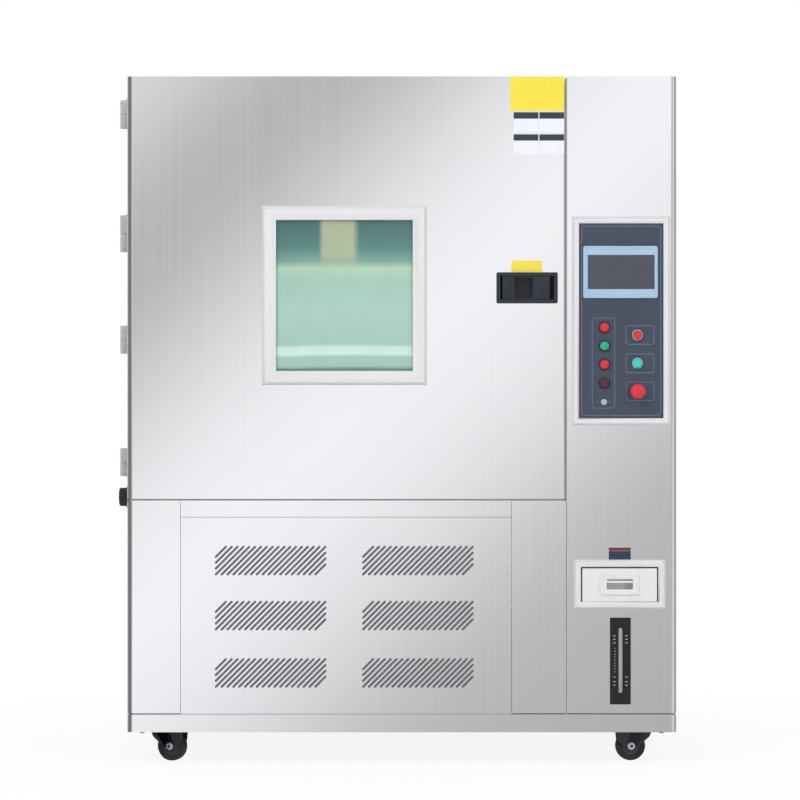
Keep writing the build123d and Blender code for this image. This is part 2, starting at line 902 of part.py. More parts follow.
# Condenser fan: tilted blades on a hub, with a shaft into the motor.
axial_middle = core_far + axial_setback + axial_depth / 2
with BuildPart() as condenser_fan:
    with BuildSketch(front_plane(axial_middle + axial_depth / 2)):
        with Locations((at_left(condenser_left), condenser_z)):
            RegularPolygon(axial_hub_radius, 20)
    extrude(amount=axial_depth)
    blade_reach = axial_radius - axial_hub_radius / 2 - 4
    with Locations(
        Plane(
            origin=(at_left(condenser_left), at_depth(axial_middle), condenser_z),
            x_dir=(1, 0, 0), z_dir=(0, -1, 0),
        )
    ):
        with PolarLocations(axial_hub_radius / 2 + blade_reach / 2, axial_blades):
            Box(
                blade_reach, axial_blade_width, axial_blade_thickness,
                rotation=(axial_blade_tilt, 0, 0),
            )
    with BuildSketch(front_plane(axial_middle)):
        with Locations((at_left(condenser_left), condenser_z)):
            Circle(fan_shaft_radius)
    extrude(amount=-(shroud_far - cooler_motor_setback + motor_bore_depth - 1 - axial_middle))
save(condenser_fan.part, "condenser_fan")

# Water tank in the foot of the column, with two pipes to the level gauge.
water_left = gauge_centre_left - water_tank_width / 2
with BuildPart() as water_tank:
    block(
        water_left, water_left + water_tank_width,
        water_tank_setback, water_tank_setback + water_tank_depth,
        floor_top, floor_top + water_tank_height,
    )
    chamfer(water_tank.edges().filter_by(Axis.Z), length=water_tank_bevel)
    with BuildSketch(front_plane(water_tank_setback)):
        with Locations(
            (at_left(gauge_centre_left), gauge_tube_bottom + water_pipe_inset),
            (at_left(gauge_centre_left), gauge_tube_top - water_pipe_inset),
        ):
            RegularPolygon(water_pipe_radius, 12)
    extrude(amount=water_tank_setback - sheet)
    with BuildSketch(Plane.XY.offset(floor_top + water_tank_height)):
        with Locations((at_left(gauge_centre_left), at_depth(water_tank_setback + water_tank_depth / 2))):
            RegularPolygon(water_cap_radius, 20)
    extrude(amount=water_cap_height)
save(water_tank.part, "water_tank")

# Column front: folded sheet beside the door, open for the drawer.
sleeve_width = drawer_width + 2 * drawer_sleeve_wall
sleeve_height = drawer_height + 2 * drawer_sleeve_wall
drawer_centre_left = drawer_left + drawer_width / 2
drawer_centre_z = drawer_bottom + drawer_height / 2
with BuildPart() as column_front:
    with BuildSketch(Plane.XY.offset(skirt_top)):
        with BuildLine():
            outer = FilletPolyline(
                (at_left(column_left), at_depth(tank_front)),
                (at_left(column_left), at_depth(0)),
                (at_left(cabinet_width), at_depth(0)),
                (at_left(cabinet_width), at_depth(fold)),
                radius=(seam, corner_radius),
            )
            inner = FilletPolyline(
                (at_left(column_left + sheet), at_depth(tank_front)),
                (at_left(column_left + sheet), at_depth(sheet)),
                (at_left(cabinet_width - sheet), at_depth(sheet)),
                (at_left(cabinet_width - sheet), at_depth(fold)),
                radius=(seam / 2, corner_radius - sheet),
            )
            Line(outer @ 0, inner @ 0)
            Line(outer @ 1, inner @ 1)
        make_face()
    extrude(amount=roof_under - skirt_top)
    with BuildSketch(front_plane(sheet)):
        with Locations((at_left(drawer_centre_left), drawer_centre_z)):
            Rectangle(sleeve_width, sleeve_height)
    extrude(amount=sheet, mode=Mode.SUBTRACT)
    block(
        column_left, column_left + sheet, fold, tank_front, skirt_top, floor_top,
        mode=Mode.SUBTRACT,
    )
save(column_front.part, "column_front")


def mitred_frame(centre_left, centre_z, width, height, section):
    """Four strips that meet in mitres. The section lists (distance inwards, height above the front)."""
    left = at_left(centre_left - width / 2)
    right = at_left(centre_left + width / 2)
    bottom = centre_z - height / 2
    top = centre_z + height / 2
    with BuildPart() as ring:
        with BuildLine() as path:
            Polyline(
                (left, y_front, bottom), (right, y_front, bottom),
                (right, y_front, top), (left, y_front, top), close=True,
            )
        with BuildSketch(Plane(origin=(left, y_front, centre_z), x_dir=(1, 0, 0), z_dir=(0, 0, 1))):
            with BuildLine():
                Polyline(*[(inwards, -rise) for inwards, rise in section], close=True)
            make_face()
        sweep(path=path.wires()[0], transition=Transition.RIGHT)
    inner = max(inwards for inwards, rise in section) + seam
    depth = seam - min(rise for inwards, rise in section)
    height_out = seam + max(rise for inwards, rise in section)
    corners = ((left, bottom, 1, 1), (right, bottom, -1, 1), (right, top, -1, -1), (left, top, 1, -1))
    strips = []
    for side in range(4):
        pair = (corners[side], corners[(side + 1) % 4])
        outline = [(x - seam * dx, z - seam * dz) for x, z, dx, dz in pair]
        outline += [(x + inner * dx, z + inner * dz) for x, z, dx, dz in reversed(pair)]
        with BuildPart() as strip:
            add(ring.part)
            with BuildSketch(front_plane(depth)):
                with BuildLine():
                    Polyline(*outline, close=True)
                make_face()
            extrude(amount=depth + height_out, mode=Mode.INTERSECT)
        strips.append(strip.part)
    return strips


# Control frame: bevelled strips around the control panel.
control_frame = mitred_frame(
    frame_left + frame_width / 2, frame_bottom_z + frame_height / 2, frame_width, frame_height,
    (
        (0, 0), (0, 2), (frame_strip * 0.3, frame_rise), (frame_strip * 0.6, frame_rise),
        (frame_strip, frame_rise * 0.6), (frame_strip, 0),
    ),
)
save(Compound(children=control_frame), "control_frame")

# Control panel: dark plate inside the frame.
panel_left = frame_left + frame_strip
panel_right = frame_left + frame_width - frame_strip
panel_bottom = frame_bottom_z + frame_strip
panel_top = frame_bottom_z + frame_height - frame_strip
with BuildPart() as control_panel:
    block(panel_left, panel_right, -panel_thickness, 0, panel_bottom, panel_top)
save(control_panel.part, "control_panel")

# Touch screen: rounded bezel with a recessed screen.
hmi_place = (at_left(hmi_centre_left), hmi_centre_z)
screen_place = (at_left(hmi_centre_left + screen_shift), hmi_centre_z)
with BuildPart() as hmi_bezel:
    with BuildSketch(front_plane(-panel_front)):
        with Locations(hmi_place):
            RectangleRounded(hmi_width, hmi_height, hmi_round)
    extrude(amount=hmi_rise)
    chamfer(hmi_bezel.faces().sort_by(Axis.Y)[0].edges(), length=bezel_bevel)
    with BuildSketch(front_plane(-panel_front - hmi_rise)):
        with Locations(screen_place):
            Rectangle(screen_width, screen_height)
    extrude(amount=-(screen_recess + screen_thickness), mode=Mode.SUBTRACT)
save(hmi_bezel.part, "hmi_bezel")

with BuildPart() as hmi_screen:
    with BuildSketch(front_plane(-panel_front - hmi_rise + screen_recess + screen_thickness)):
        with Locations(screen_place):
            Rectangle(screen_width, screen_height)
    extrude(amount=screen_thickness)
save(hmi_screen.part, "hmi_screen")

# Lamp bezels: three lamp rings and a buzzer cap below them.
lamp_places = [(at_left(lamp_left), height) for height in lamp_heights]
with BuildPart() as lamp_bezels:
    with BuildSketch(front_plane(-panel_front)):
        with Locations(*lamp_places):
            Circle(lamp_bezel_radius)
    extrude(amount=lamp_bezel_height)
    with BuildSketch(front_plane(-panel_front - lamp_bezel_height)):
        with Locations(lamp_places[-1]):
            Circle(lamp_lens_radius)
    extrude(amount=lamp_lens_height - lamp_bezel_height)
    with BuildSketch(front_plane(-panel_front)):
        with Locations(*lamp_places[:-1]):
            Circle(lamp_lens_radius)
    extrude(amount=lamp_bezel_height, mode=Mode.SUBTRACT)
save(lamp_bezels.part, "lamp_bezels")

with BuildPart() as lamp_lenses:
    with BuildSketch(front_plane(-panel_front)):
        with Locations(*lamp_places[:-1]):
            Circle(lamp_lens_radius)
    extrude(amount=lamp_lens_height)
    chamfer(lamp_lenses.edges().filter_by(GeomType.CIRCLE).group_by(Axis.Y)[0], length=lamp_bevel)
save(lamp_lenses.part, "lamp_lenses")

# Button bezels: two rings for the push buttons, the stop collar and the key switch ring.
button_places = [(at_left(button_left), height) for height in button_heights]
stop_place = (at_left(button_left), estop_z)
key_place = (at_left(key_left), key_z)
with BuildPart() as button_bezels:
    with BuildSketch(front_plane(-panel_front)):
        with Locations(*button_places):
            Circle(button_bezel_radius)
    extrude(amount=button_bezel_height)
    with BuildSketch(front_plane(-panel_front - button_bezel_floor)):
        with Locations(*button_places):
            Circle(button_radius + button_side_gap)
    extrude(amount=button_bezel_height, mode=Mode.SUBTRACT)
    with BuildSketch(front_plane(-panel_front)):
        with Locations(stop_place):
            Circle(estop_collar_radius)
    extrude(amount=estop_collar_height)
    with BuildSketch(front_plane(-panel_front - estop_collar_floor)):
        with Locations(stop_place):
            Circle(estop_stem_radius + button_side_gap)
    extrude(amount=estop_collar_height, mode=Mode.SUBTRACT)
    with BuildSketch(front_plane(-panel_front)):
        with Locations(key_place):
            Circle(key_bezel_radius)
    extrude(amount=key_bezel_height)
    with BuildSketch(front_plane(-panel_front)):
        with Locations(key_place):
            Circle(key_radius + shaft_clearance)
    extrude(amount=key_bezel_height, mode=Mode.SUBTRACT)
save(button_bezels.part, "button_bezels")


def push_button(place):
    """Round cap that slides in its ring."""
    with BuildPart() as cap:
        with BuildSketch(front_plane(-panel_front - button_bezel_floor - button_travel - button_side_gap)):
            with Locations(place):
                Circle(button_radius)
        extrude(amount=button_bezel_height - button_bezel_floor - button_travel + button_rise)
        chamfer(cap.edges().filter_by(GeomType.CIRCLE).group_by(Axis.Y)[0], length=button_bevel)
    return cap.part


save(push_button(button_places[0]), "button_power")
save(push_button(button_places[1]), "button_start")

# Emergency stop: mushroom head on a stem that slides in the collar.
head_back = panel_front + estop_collar_height + estop_travel + 1
with BuildPart() as estop_head:
    with BuildSketch(front_plane(-head_back)):
        with Locations(stop_place):
            Circle(estop_radius)
    extrude(amount=estop_head_height)
    rim_edges = estop_head.edges().filter_by(GeomType.CIRCLE)
    chamfer(rim_edges.group_by(Axis.Y)[0], length=estop_head_bevel)
    with BuildSketch(front_plane(-head_back)):
        with Locations(stop_place):
            Circle(estop_stem_radius)
    extrude(amount=-(estop_collar_height + 1 - estop_collar_floor))
save(estop_head.part, "estop_head")

# Key switch: turning barrel with a raised grip.
with BuildPart() as key_switch:
    with BuildSketch(front_plane(-panel_front)):
        with Locations(key_place):
            Circle(key_radius)
    extrude(amount=key_height)
    with BuildSketch(front_plane(-panel_front - key_height)):
        with Locations(key_place):
            Rectangle(key_grip_width, 2 * key_radius - 2)
    extrude(amount=key_grip_height)
save(key_switch.part, "key_switch")

# Drawer frame: bevelled strips on the column with a sleeve behind that guides the drawer.
frame_section = (
    (0, 0), (0, 2), (drawer_frame_strip * 0.25, drawer_frame_rise),
    (drawer_frame_strip * 0.75, drawer_frame_rise), (drawer_frame_strip, drawer_frame_rise - 2),
    (drawer_frame_strip, 0),
)
drawer_ring = mitred_frame(
    drawer_centre_left, drawer_centre_z,
    drawer_width + 2 * drawer_frame_strip, drawer_height + 2 * drawer_frame_strip, frame_section,
)
sleeve_left = drawer_left - drawer_sleeve_wall
sleeve_right = drawer_left + drawer_width + drawer_sleeve_wall
sleeve_bottom = drawer_bottom - drawer_sleeve_wall
sleeve_top = drawer_bottom + drawer_height + drawer_sleeve_wall
sleeve = [
    board(left, left + drawer_sleeve_wall, 0, drawer_sleeve_depth, sleeve_bottom, sleeve_top)
    for left in (sleeve_left, sleeve_right - drawer_sleeve_wall)
]
sleeve += [
    board(
        drawer_left, drawer_left + drawer_width, 0, drawer_sleeve_depth,
        bottom, bottom + drawer_sleeve_wall,
    )
    for bottom in (sleeve_bottom, sleeve_top - drawer_sleeve_wall)
]
save(Compound(children=drawer_ring + sleeve), "drawer_frame")

# Drawer box: front plate with a finger cup behind it, floor, side walls and back.
tray_left = drawer_left + drawer_side_gap
tray_right = drawer_left + drawer_width - drawer_side_gap
tray_bottom = drawer_bottom + drawer_runner_gap
tray_top = drawer_bottom + drawer_height - drawer_side_gap
front_face = -drawer_frame_rise + 2
cup_width = pull_slot_width + 8
cup_height = pull_slot_height + 8
cup_left = drawer_centre_left - cup_width / 2
cup_right = cup_left + cup_width
cup_low = drawer_centre_z - cup_height / 2
cup_high = cup_low + cup_height
plate_far = front_face + drawer_front
cup_far = plate_far + pull_cup_depth
floor_high = tray_bottom + drawer_wall
front_plate = [
    board(tray_left, tray_right, front_face, plate_far, tray_bottom, cup_low),
    board(tray_left, tray_right, front_face, plate_far, cup_high, tray_top),
    board(tray_left, cup_left, front_face, plate_far, cup_low, cup_high),
    board(cup_right, tray_right, front_face, plate_far, cup_low, cup_high),
]
tray = [
    board(tray_left, tray_right, plate_far, drawer_depth, tray_bottom, floor_high),
    board(tray_left, tray_left + drawer_wall, plate_far, drawer_depth, floor_high, tray_top),
    board(tray_right - drawer_wall, tray_right, plate_far, drawer_depth, floor_high, tray_top),
    board(
        tray_left + drawer_wall, tray_right - drawer_wall,
        drawer_depth - drawer_wall, drawer_depth, floor_high, tray_top,
    ),
]
finger_cup = [
    board(cup_left, cup_right, cup_far - drawer_wall, cup_far, cup_low, cup_high),
    board(cup_left - drawer_wall, cup_left, plate_far, cup_far, cup_low, cup_high),
    board(cup_right, cup_right + drawer_wall, plate_far, cup_far, cup_low, cup_high),
]
finger_cup += [
    board(
        cup_left - drawer_wall, cup_right + drawer_wall, plate_far, cup_far,
        bottom, bottom + drawer_wall,
    )
    for bottom in (cup_low - drawer_wall, cup_high)
]
save(Compound(children=front_plate + tray + finger_cup), "drawer_box")

# Drawer handle: plate with a finger slot and a round grip bar in it.
with BuildPart() as drawer_handle:
    with BuildSketch(front_plane(front_face)):
        with Locations((at_left(drawer_centre_left), drawer_centre_z)):
            RectangleRounded(pull_width, pull_height, 4)
            RectangleRounded(pull_slot_width, pull_slot_height, 5, mode=Mode.SUBTRACT)
    extrude(amount=pull_thickness)
    with BuildSketch(
        Plane(
            origin=(
                at_left(drawer_centre_left - pull_slot_width / 2 - 1),
                at_depth(front_face - pull_thickness / 2 + 1),
                drawer_centre_z + pull_bar_lift,
            ),
            x_dir=(0, 1, 0), z_dir=(1, 0, 0),
        )
    ):
        Circle(pull_bar_radius - 2)
    extrude(amount=pull_slot_width + 2)
save(drawer_handle.part, "drawer_handle")

# Level gauge: dark plate with a clear tube on it.
with BuildPart() as gauge_plate:
    with BuildSketch(front_plane(0)):
        with Locations((at_left(gauge_centre_left), gauge_bottom + gauge_height / 2)):
            RectangleRounded(gauge_width, gauge_height, 2)
    extrude(amount=gauge_thickness)
save(gauge_plate.part, "gauge_plate")

tube_length = gauge_tube_top - gauge_tube_bottom
with BuildPart() as gauge_tube:
    with BuildSketch(front_plane(-gauge_thickness)):
        with Locations((at_left(gauge_centre_left), gauge_tube_bottom + tube_length / 2)):
            SlotOverall(tube_length, gauge_tube_width, rotation=90)
    extrude(amount=gauge_tube_rise)
    chamfer(gauge_tube.faces().sort_by(Axis.Y)[0].edges(), length=gauge_tube_rise * 0.4)
save(gauge_tube.part, "gauge_tube")

# Port fittings: rubber plug in the left side and the cable gland at the rear.
side_plane = Plane(origin=(x_left, 0, 0), x_dir=(0, -1, 0), z_dir=(-1, 0, 0))
port_place = (-at_depth(port_depth), port_z)
with BuildPart() as port_plug:
    with BuildSketch(side_plane):
        with Locations(port_place):
            Circle(port_flange_radius)
    extrude(amount=port_flange_height)
    chamfer(port_plug.faces().sort_by(Axis.X)[0].edges(), length=port_flange_bevel)
    with BuildSketch(side_plane.offset(port_flange_height)):
        with Locations(port_place):
            Circle(port_cap_radius)
    extrude(amount=port_projection - port_flange_height)
    chamfer(port_plug.faces().sort_by(Axis.X)[0].edges(), length=port_cap_bevel)
    with BuildSketch(side_plane):
        with Locations(port_place):
            Circle(port_hole_radius)
    extrude(amount=-port_stub_depth)
with BuildPart() as cable_gland:
    with BuildSketch(front_plane(cabinet_depth + gland_length)):
        with Locations((at_left(gland_left), gland_z)):
            RegularPolygon(gland_radius * 0.7, 16)
    extrude(amount=gland_length)
    with BuildSketch(front_plane(cabinet_depth + gland_length * 0.6)):
        with Locations((at_left(gland_left), gland_z)):
            RegularPolygon(gland_radius + 2, 6)
    extrude(amount=gland_length * 0.6)
    with BuildSketch(front_plane(cabinet_depth)):
        with Locations((at_left(gland_left), gland_z)):
            Circle(gland_radius - sheet - shaft_clearance)
    extrude(amount=sheet + gland_stub)
save(Compound(children=[port_plug.part, cable_gland.part]), "port_fittings")


# Hinges: the body half holds the pin and the lower knuckle, the door half the upper one.
axis_left = -hinge_axis_out
axis_depth = door_thickness + seal_gap / 2
axis_point = (at_left(axis_left), at_depth(axis_depth))


def body_leaf(middle, height):
    """Hinge half on the cabinet side: leaf, web, lower knuckle and pin."""
    low = middle - height / 2
    with BuildPart() as leaf:
        block(
            -hinge_leaf_thickness, 0,
            axis_depth + hinge_leaf_start, axis_depth + hinge_leaf_start + hinge_leaf_length,
            low, low + height,
        )
        block(
            axis_left, 0, axis_depth + 2, axis_depth + hinge_leaf_start + 1, low, middle
        )
        with BuildSketch(Plane.XY.offset(low)):
            with Locations(axis_point):
                Circle(hinge_barrel_radius)
        extrude(amount=height / 2)
        with BuildSketch(Plane.XY.offset(low)):
            with Locations(axis_point):
                Circle(hinge_pin_radius)
        extrude(amount=height - 2)
    return leaf.part


def door_leaf(middle, height):
    """Hinge half on the door side: leaf, web and upper knuckle with the pin's bore."""
    low = middle - height / 2
    with BuildPart() as leaf:
        block(
            -hinge_leaf_thickness, 0,
            axis_depth - hinge_leaf_start - hinge_leaf_length, axis_depth - hinge_leaf_start,
            low, low + height,
        )
        block(
            axis_left, 0, axis_depth - hinge_leaf_start - 1, axis_depth - seal_gap / 2,
            middle + swivel_gap, low + height,
        )
        with BuildSketch(Plane.XY.offset(middle + swivel_gap)):
            with Locations(axis_point):
                Circle(hinge_barrel_radius)
        extrude(amount=height / 2 - swivel_gap)
        with BuildSketch(Plane.XY.offset(middle)):
            with Locations(axis_point):
                Circle(hinge_pin_radius + shaft_clearance)
        extrude(amount=height / 2 - 1, mode=Mode.SUBTRACT)
    return leaf.part


save(Compound(children=[body_leaf(*place) for place in hinge_positions]), "hinge_body_leaves")
save(Compound(children=[door_leaf(*place) for place in hinge_positions]), "hinge_door_leaves")

# Door: outer skin, core of foam boards round the window and the latch, inner panel with a plug,
# and a seal.
reveal_width = window_outer_width - 2 * window_strip + 2 * reveal_wall
reveal_height = window_outer_height - 2 * window_strip + 2 * reveal_wall
window_place = (at_left(window_centre_left), window_centre_z)
skin_far = door_thickness - liner_sheet
pocket_width = handle_width - 2 * handle_rim
pocket_height = handle_height - 2 * handle_rim
case_right = handle_centre_left + handle_width / 2 + latch_case_overhang
case_left = case_right - latch_case_width
case_low = handle_centre_z - latch_case_height / 2
case_high = handle_centre_z + latch_case_height / 2
pocket_left = handle_centre_left - pocket_width / 2
pocket_right = pocket_left + pocket_width
pocket_low = handle_centre_z - pocket_height / 2
pocket_high = pocket_low + pocket_height
glass_left = window_centre_left - reveal_width / 2
glass_right = glass_left + reveal_width
glass_low = window_centre_z - reveal_height / 2
glass_high = glass_low + reveal_height


def door_profile(inset, far):
    """Plan of the door, inset from its faces, with the rounded front left edge."""
    with BuildSketch(Plane.XY.offset(door_bottom + inset)) as plan:
        with BuildLine():
            edge = FilletPolyline(
                (at_left(inset), at_depth(far)),
                (at_left(inset), at_depth(inset)),
                (at_left(door_width - inset), at_depth(inset)),
                (at_left(door_width - inset), at_depth(far)),
                radius=(corner_radius - inset, max(seam, 2 * sheet - inset)),
            )
            Line(edge @ 0, edge @ 1)
        make_face()
    return plan.sketch


with BuildPart() as door_outer_skin:
    extrude(door_profile(0, skin_far), amount=door_height)
    extrude(door_profile(sheet, skin_far), amount=door_height - 2 * sheet, mode=Mode.SUBTRACT)
    with BuildSketch(front_plane(sheet)):
        with Locations(window_place):
            Rectangle(reveal_width, reveal_height)
        with Locations((at_left(handle_centre_left), handle_centre_z)):
            Rectangle(pocket_width, pocket_height)
    extrude(amount=sheet, mode=Mode.SUBTRACT)
save(door_outer_skin.part, "door_outer_skin")

plug_left = tank_left + plug_clearance
plug_right = tank_right - plug_clearance
plug_bottom = tank_bottom + plug_clearance
plug_top = tank_top - plug_clearance
plug_far = door_thickness + plug_depth
core_cells = (
    (0, door_width, 0, skin_far, door_bottom, glass_low),
    (0, door_width, 0, skin_far, glass_high, cabinet_height),
    (0, glass_left, 0, skin_far, glass_low, glass_high),
    (glass_right, door_width, 0, skin_far, glass_low, pocket_low),
    (glass_right, door_width, 0, skin_far, pocket_high, glass_high),
    (glass_right, pocket_left, 0, skin_far, pocket_low, pocket_high),
    (pocket_left, case_left, handle_depth, skin_far, pocket_low, pocket_high),
    (pocket_right, door_width, 0, handle_depth, pocket_low, pocket_high),
    (case_right, door_width, handle_depth, skin_far, pocket_low, pocket_high),
    (case_left, case_right, handle_depth, skin_far, pocket_low, case_low),
    (case_left, case_right, handle_depth, skin_far, case_high, pocket_high),
)
core_boards = []
for cell in core_cells:
    with BuildPart() as core_board:
        extrude(door_profile(sheet, skin_far), amount=door_height - 2 * sheet)
        block(*cell, mode=Mode.INTERSECT)
    core_boards.append(core_board.part)
plug_core_left = plug_left + liner_sheet
plug_core_right = plug_right - liner_sheet
for left, right, bottom, top in (
    (plug_core_left, plug_core_right, plug_bottom + liner_sheet, glass_low),
    (plug_core_left, plug_core_right, glass_high, plug_top - liner_sheet),
    (plug_core_left, glass_left, glass_low, glass_high),
    (glass_right, plug_core_right, glass_low, glass_high),
):
    core_boards.append(board(left, right, skin_far, plug_far - liner_sheet, bottom, top))
save(Compound(children=core_boards), "door_core")

with BuildPart() as door_inner_panel:
    block(0, door_width, skin_far, door_thickness, door_bottom, cabinet_height)
    block(plug_left, plug_right, door_thickness, plug_far, plug_bottom, plug_top)
    block(
        plug_left + liner_sheet, plug_right - liner_sheet, skin_far, plug_far - liner_sheet,
        plug_bottom + liner_sheet, plug_top - liner_sheet, mode=Mode.SUBTRACT,
    )
    with BuildSketch(front_plane(plug_far)):
        with Locations(window_place):
            Rectangle(reveal_width, reveal_height)
    extrude(amount=plug_far, mode=Mode.SUBTRACT)
    block(
        case_left, case_right, skin_far, door_thickness, case_low, case_high, mode=Mode.SUBTRACT
    )
save(door_inner_panel.part, "door_inner_panel")

with BuildPart() as door_seal:
    seal_inner_width = tank_width + 2 * plug_clearance
    seal_inner_height = tank_height + 2 * plug_clearance
    seal_place = (at_left(tank_left + tank_width / 2), tank_bottom + tank_height / 2)
    with BuildSketch(front_plane(door_thickness)):
        with Locations(seal_place):
            RectangleRounded(
                seal_inner_width + 2 * seal_width, seal_inner_height + 2 * seal_width, seal_width
            )
            Rectangle(seal_inner_width, seal_inner_height, mode=Mode.SUBTRACT)
    extrude(amount=-(seal_gap - seal_squeeze))
save(door_seal.part, "door_seal")

# Window: bevelled mitred frame with a reveal, and three panes with spacers.
window_frame = mitred_frame(
    window_centre_left, window_centre_z, window_outer_width, window_outer_height,
    (
        (0, 0), (0, 3), (6, window_rise - 1), (13, window_rise),
        (window_strip - 5, window_rise * 0.5), (window_strip, window_rise * 0.4),
        (window_strip, -reveal_depth), (window_strip - reveal_wall, -reveal_depth),
        (window_strip - reveal_wall, 0),
    ),
)
save(Compound(children=window_frame), "window_frame")


def pane(width, height, near, far):
    """Flat sheet of glass behind the window frame."""
    left = window_centre_left - width / 2
    bottom = window_centre_z - height / 2
    return board(left, left + width, near, far, bottom, bottom + height)


def spacer(width, height, near, far):
    """Four bars that keep two panes apart."""
    left = window_centre_left - width / 2
    right = left + width
    bottom = window_centre_z - height / 2
    top = bottom + height
    return [
        board(left, left + spacer_width, near, far, bottom, top),
        board(right - spacer_width, right, near, far, bottom, top),
        board(left + spacer_width, right - spacer_width, near, far, bottom, bottom + spacer_width),
        board(left + spacer_width, right - spacer_width, near, far, top - spacer_width, top),
    ]


opening_width = reveal_width - 2 * reveal_wall
opening_height = reveal_height - 2 * reveal_wall
outer_pane_far = glass_setback + glass_thickness
middle_pane_far = reveal_depth + inner_glass_thickness
inner_pane_near = plug_far - glass_thickness
panes = [
    pane(opening_width, opening_height, glass_setback, outer_pane_far),
    pane(reveal_width, reveal_height, reveal_depth, middle_pane_far),
    pane(reveal_width, reveal_height, inner_pane_near, plug_far),
]
panes += spacer(opening_width, opening_height, outer_pane_far, reveal_depth)
panes += spacer(reveal_width, reveal_height, middle_pane_far, inner_pane_near)
save(Compound(children=panes), "window_glass")

# Latch handle: housing with a recess and a latch case behind it.
handle_place = (at_left(handle_centre_left), handle_centre_z)
recess_left = pocket_left + handle_wall
recess_right = pocket_right - handle_wall
recess_low = pocket_low + handle_wall
recess_high = pocket_high - handle_wall
paddle_pin_left = recess_left + paddle_pin_inset
paddle_pin_depth = -handle_rise + paddle_thickness / 2 + 1
hook_pin_left = case_left + hook_inset
hook_pin_depth = body_depth - keeper_reach - 2
keeper_pin_left = case_left + keeper_inset
keeper_pin_depth = body_depth - keeper_reach + keeper_pin_radius + 2
with BuildPart() as handle_housing:
    with BuildSketch(front_plane(0)):
        with Locations(handle_place):
            RectangleRounded(handle_width, handle_height, 4)
    extrude(amount=handle_rise)
    chamfer(handle_housing.faces().sort_by(Axis.Y)[0].edges(), length=bezel_bevel)
    with BuildSketch(front_plane(0)):
        with Locations(handle_place):
            Rectangle(pocket_width, pocket_height)
    extrude(amount=-handle_depth)
    block(
        recess_left, recess_right, -handle_rise, handle_depth - handle_wall,
        recess_low, recess_high, mode=Mode.SUBTRACT,
    )
    block(case_left, case_right, handle_depth, door_thickness, case_low, case_high)
    block(
        case_left + latch_case_wall, case_right - latch_case_wall,
        handle_depth + latch_case_wall, door_thickness,
        case_low + latch_case_wall, case_high - latch_case_wall, mode=Mode.SUBTRACT,
    )
    with BuildSketch(Plane.XY.offset(recess_low - handle_wall + 0.5)):
        with Locations((at_left(paddle_pin_left), at_depth(paddle_pin_depth))):
            Circle(paddle_pin_radius + shaft_clearance)
    extrude(amount=recess_high - recess_low + 2 * handle_wall - 1, mode=Mode.SUBTRACT)
    with BuildSketch(Plane.XY.offset(case_low + 1)):
        with Locations((at_left(hook_pin_left), at_depth(hook_pin_depth))):
            Circle(hook_pin_radius + shaft_clearance)
    extrude(amount=latch_case_height - 2, mode=Mode.SUBTRACT)
save(handle_housing.part, "handle_housing")

# Handle paddle: plate with a finger hole that turns on a pin at its left end.
paddle_right = recess_right - finger_slot_width
paddle_low = recess_low + paddle_gap
paddle_high = recess_high - paddle_gap
with BuildPart() as handle_paddle:
    block(
        paddle_pin_left, paddle_right,
        paddle_pin_depth - paddle_thickness / 2, paddle_pin_depth + paddle_thickness / 2,
        paddle_low, paddle_high,
    )
    with BuildSketch(Plane.XY.offset(paddle_low)):
        with Locations((at_left(paddle_pin_left), at_depth(paddle_pin_depth))):
            Circle(paddle_thickness / 2)
    extrude(amount=paddle_high - paddle_low)
    with BuildSketch(front_plane(paddle_pin_depth - paddle_thickness / 2)):
        with Locations(
            (at_left(recess_left + finger_hole_left + finger_hole_width / 2), handle_centre_z)
        ):
            RectangleRounded(finger_hole_width, finger_hole_height, 4)
    extrude(amount=-paddle_thickness, mode=Mode.SUBTRACT)
    with BuildSketch(Plane.XY.offset(recess_low - handle_wall + 1)):
        with Locations((at_left(paddle_pin_left), at_depth(paddle_pin_depth))):
            Circle(paddle_pin_radius)
    extrude(amount=recess_high - recess_low + 2 * handle_wall - 2)
save(handle_paddle.part, "handle_paddle")

# Latch hook: cam plate on a pin across the latch case, beside the keeper's pin.
hook_reach = keeper_pin_left - keeper_pin_radius - hook_clearance - hook_pin_left
throat_left = hook_pin_left + hook_reach - hook_throat
with BuildPart() as latch_hook:
    with BuildSketch(Plane.XY.offset(handle_centre_z - hook_thickness / 2)):
        with BuildLine():
            Polyline(
                (at_left(hook_pin_left - hook_heel), at_depth(hook_pin_depth - hook_heel)),
                (at_left(throat_left), at_depth(hook_pin_depth - hook_back)),
                (at_left(hook_pin_left + hook_reach), at_depth(hook_pin_depth - 1)),
                (at_left(throat_left), at_depth(hook_pin_depth + hook_length / 2)),
                (at_left(hook_pin_left + hook_reach), at_depth(hook_pin_depth + hook_length)),
                (at_left(hook_pin_left + hook_reach / 2), at_depth(hook_pin_depth + hook_length)),
                (at_left(hook_pin_left - hook_heel), at_depth(hook_pin_depth + hook_heel - 1)),
                close=True,
            )
        make_face()
    extrude(amount=hook_thickness)
    with BuildSketch(Plane.XY.offset(case_low + 2)):
        with Locations((at_left(hook_pin_left), at_depth(hook_pin_depth))):
            Circle(hook_pin_radius)
    extrude(amount=latch_case_height - 4)
save(latch_hook.part, "latch_hook")

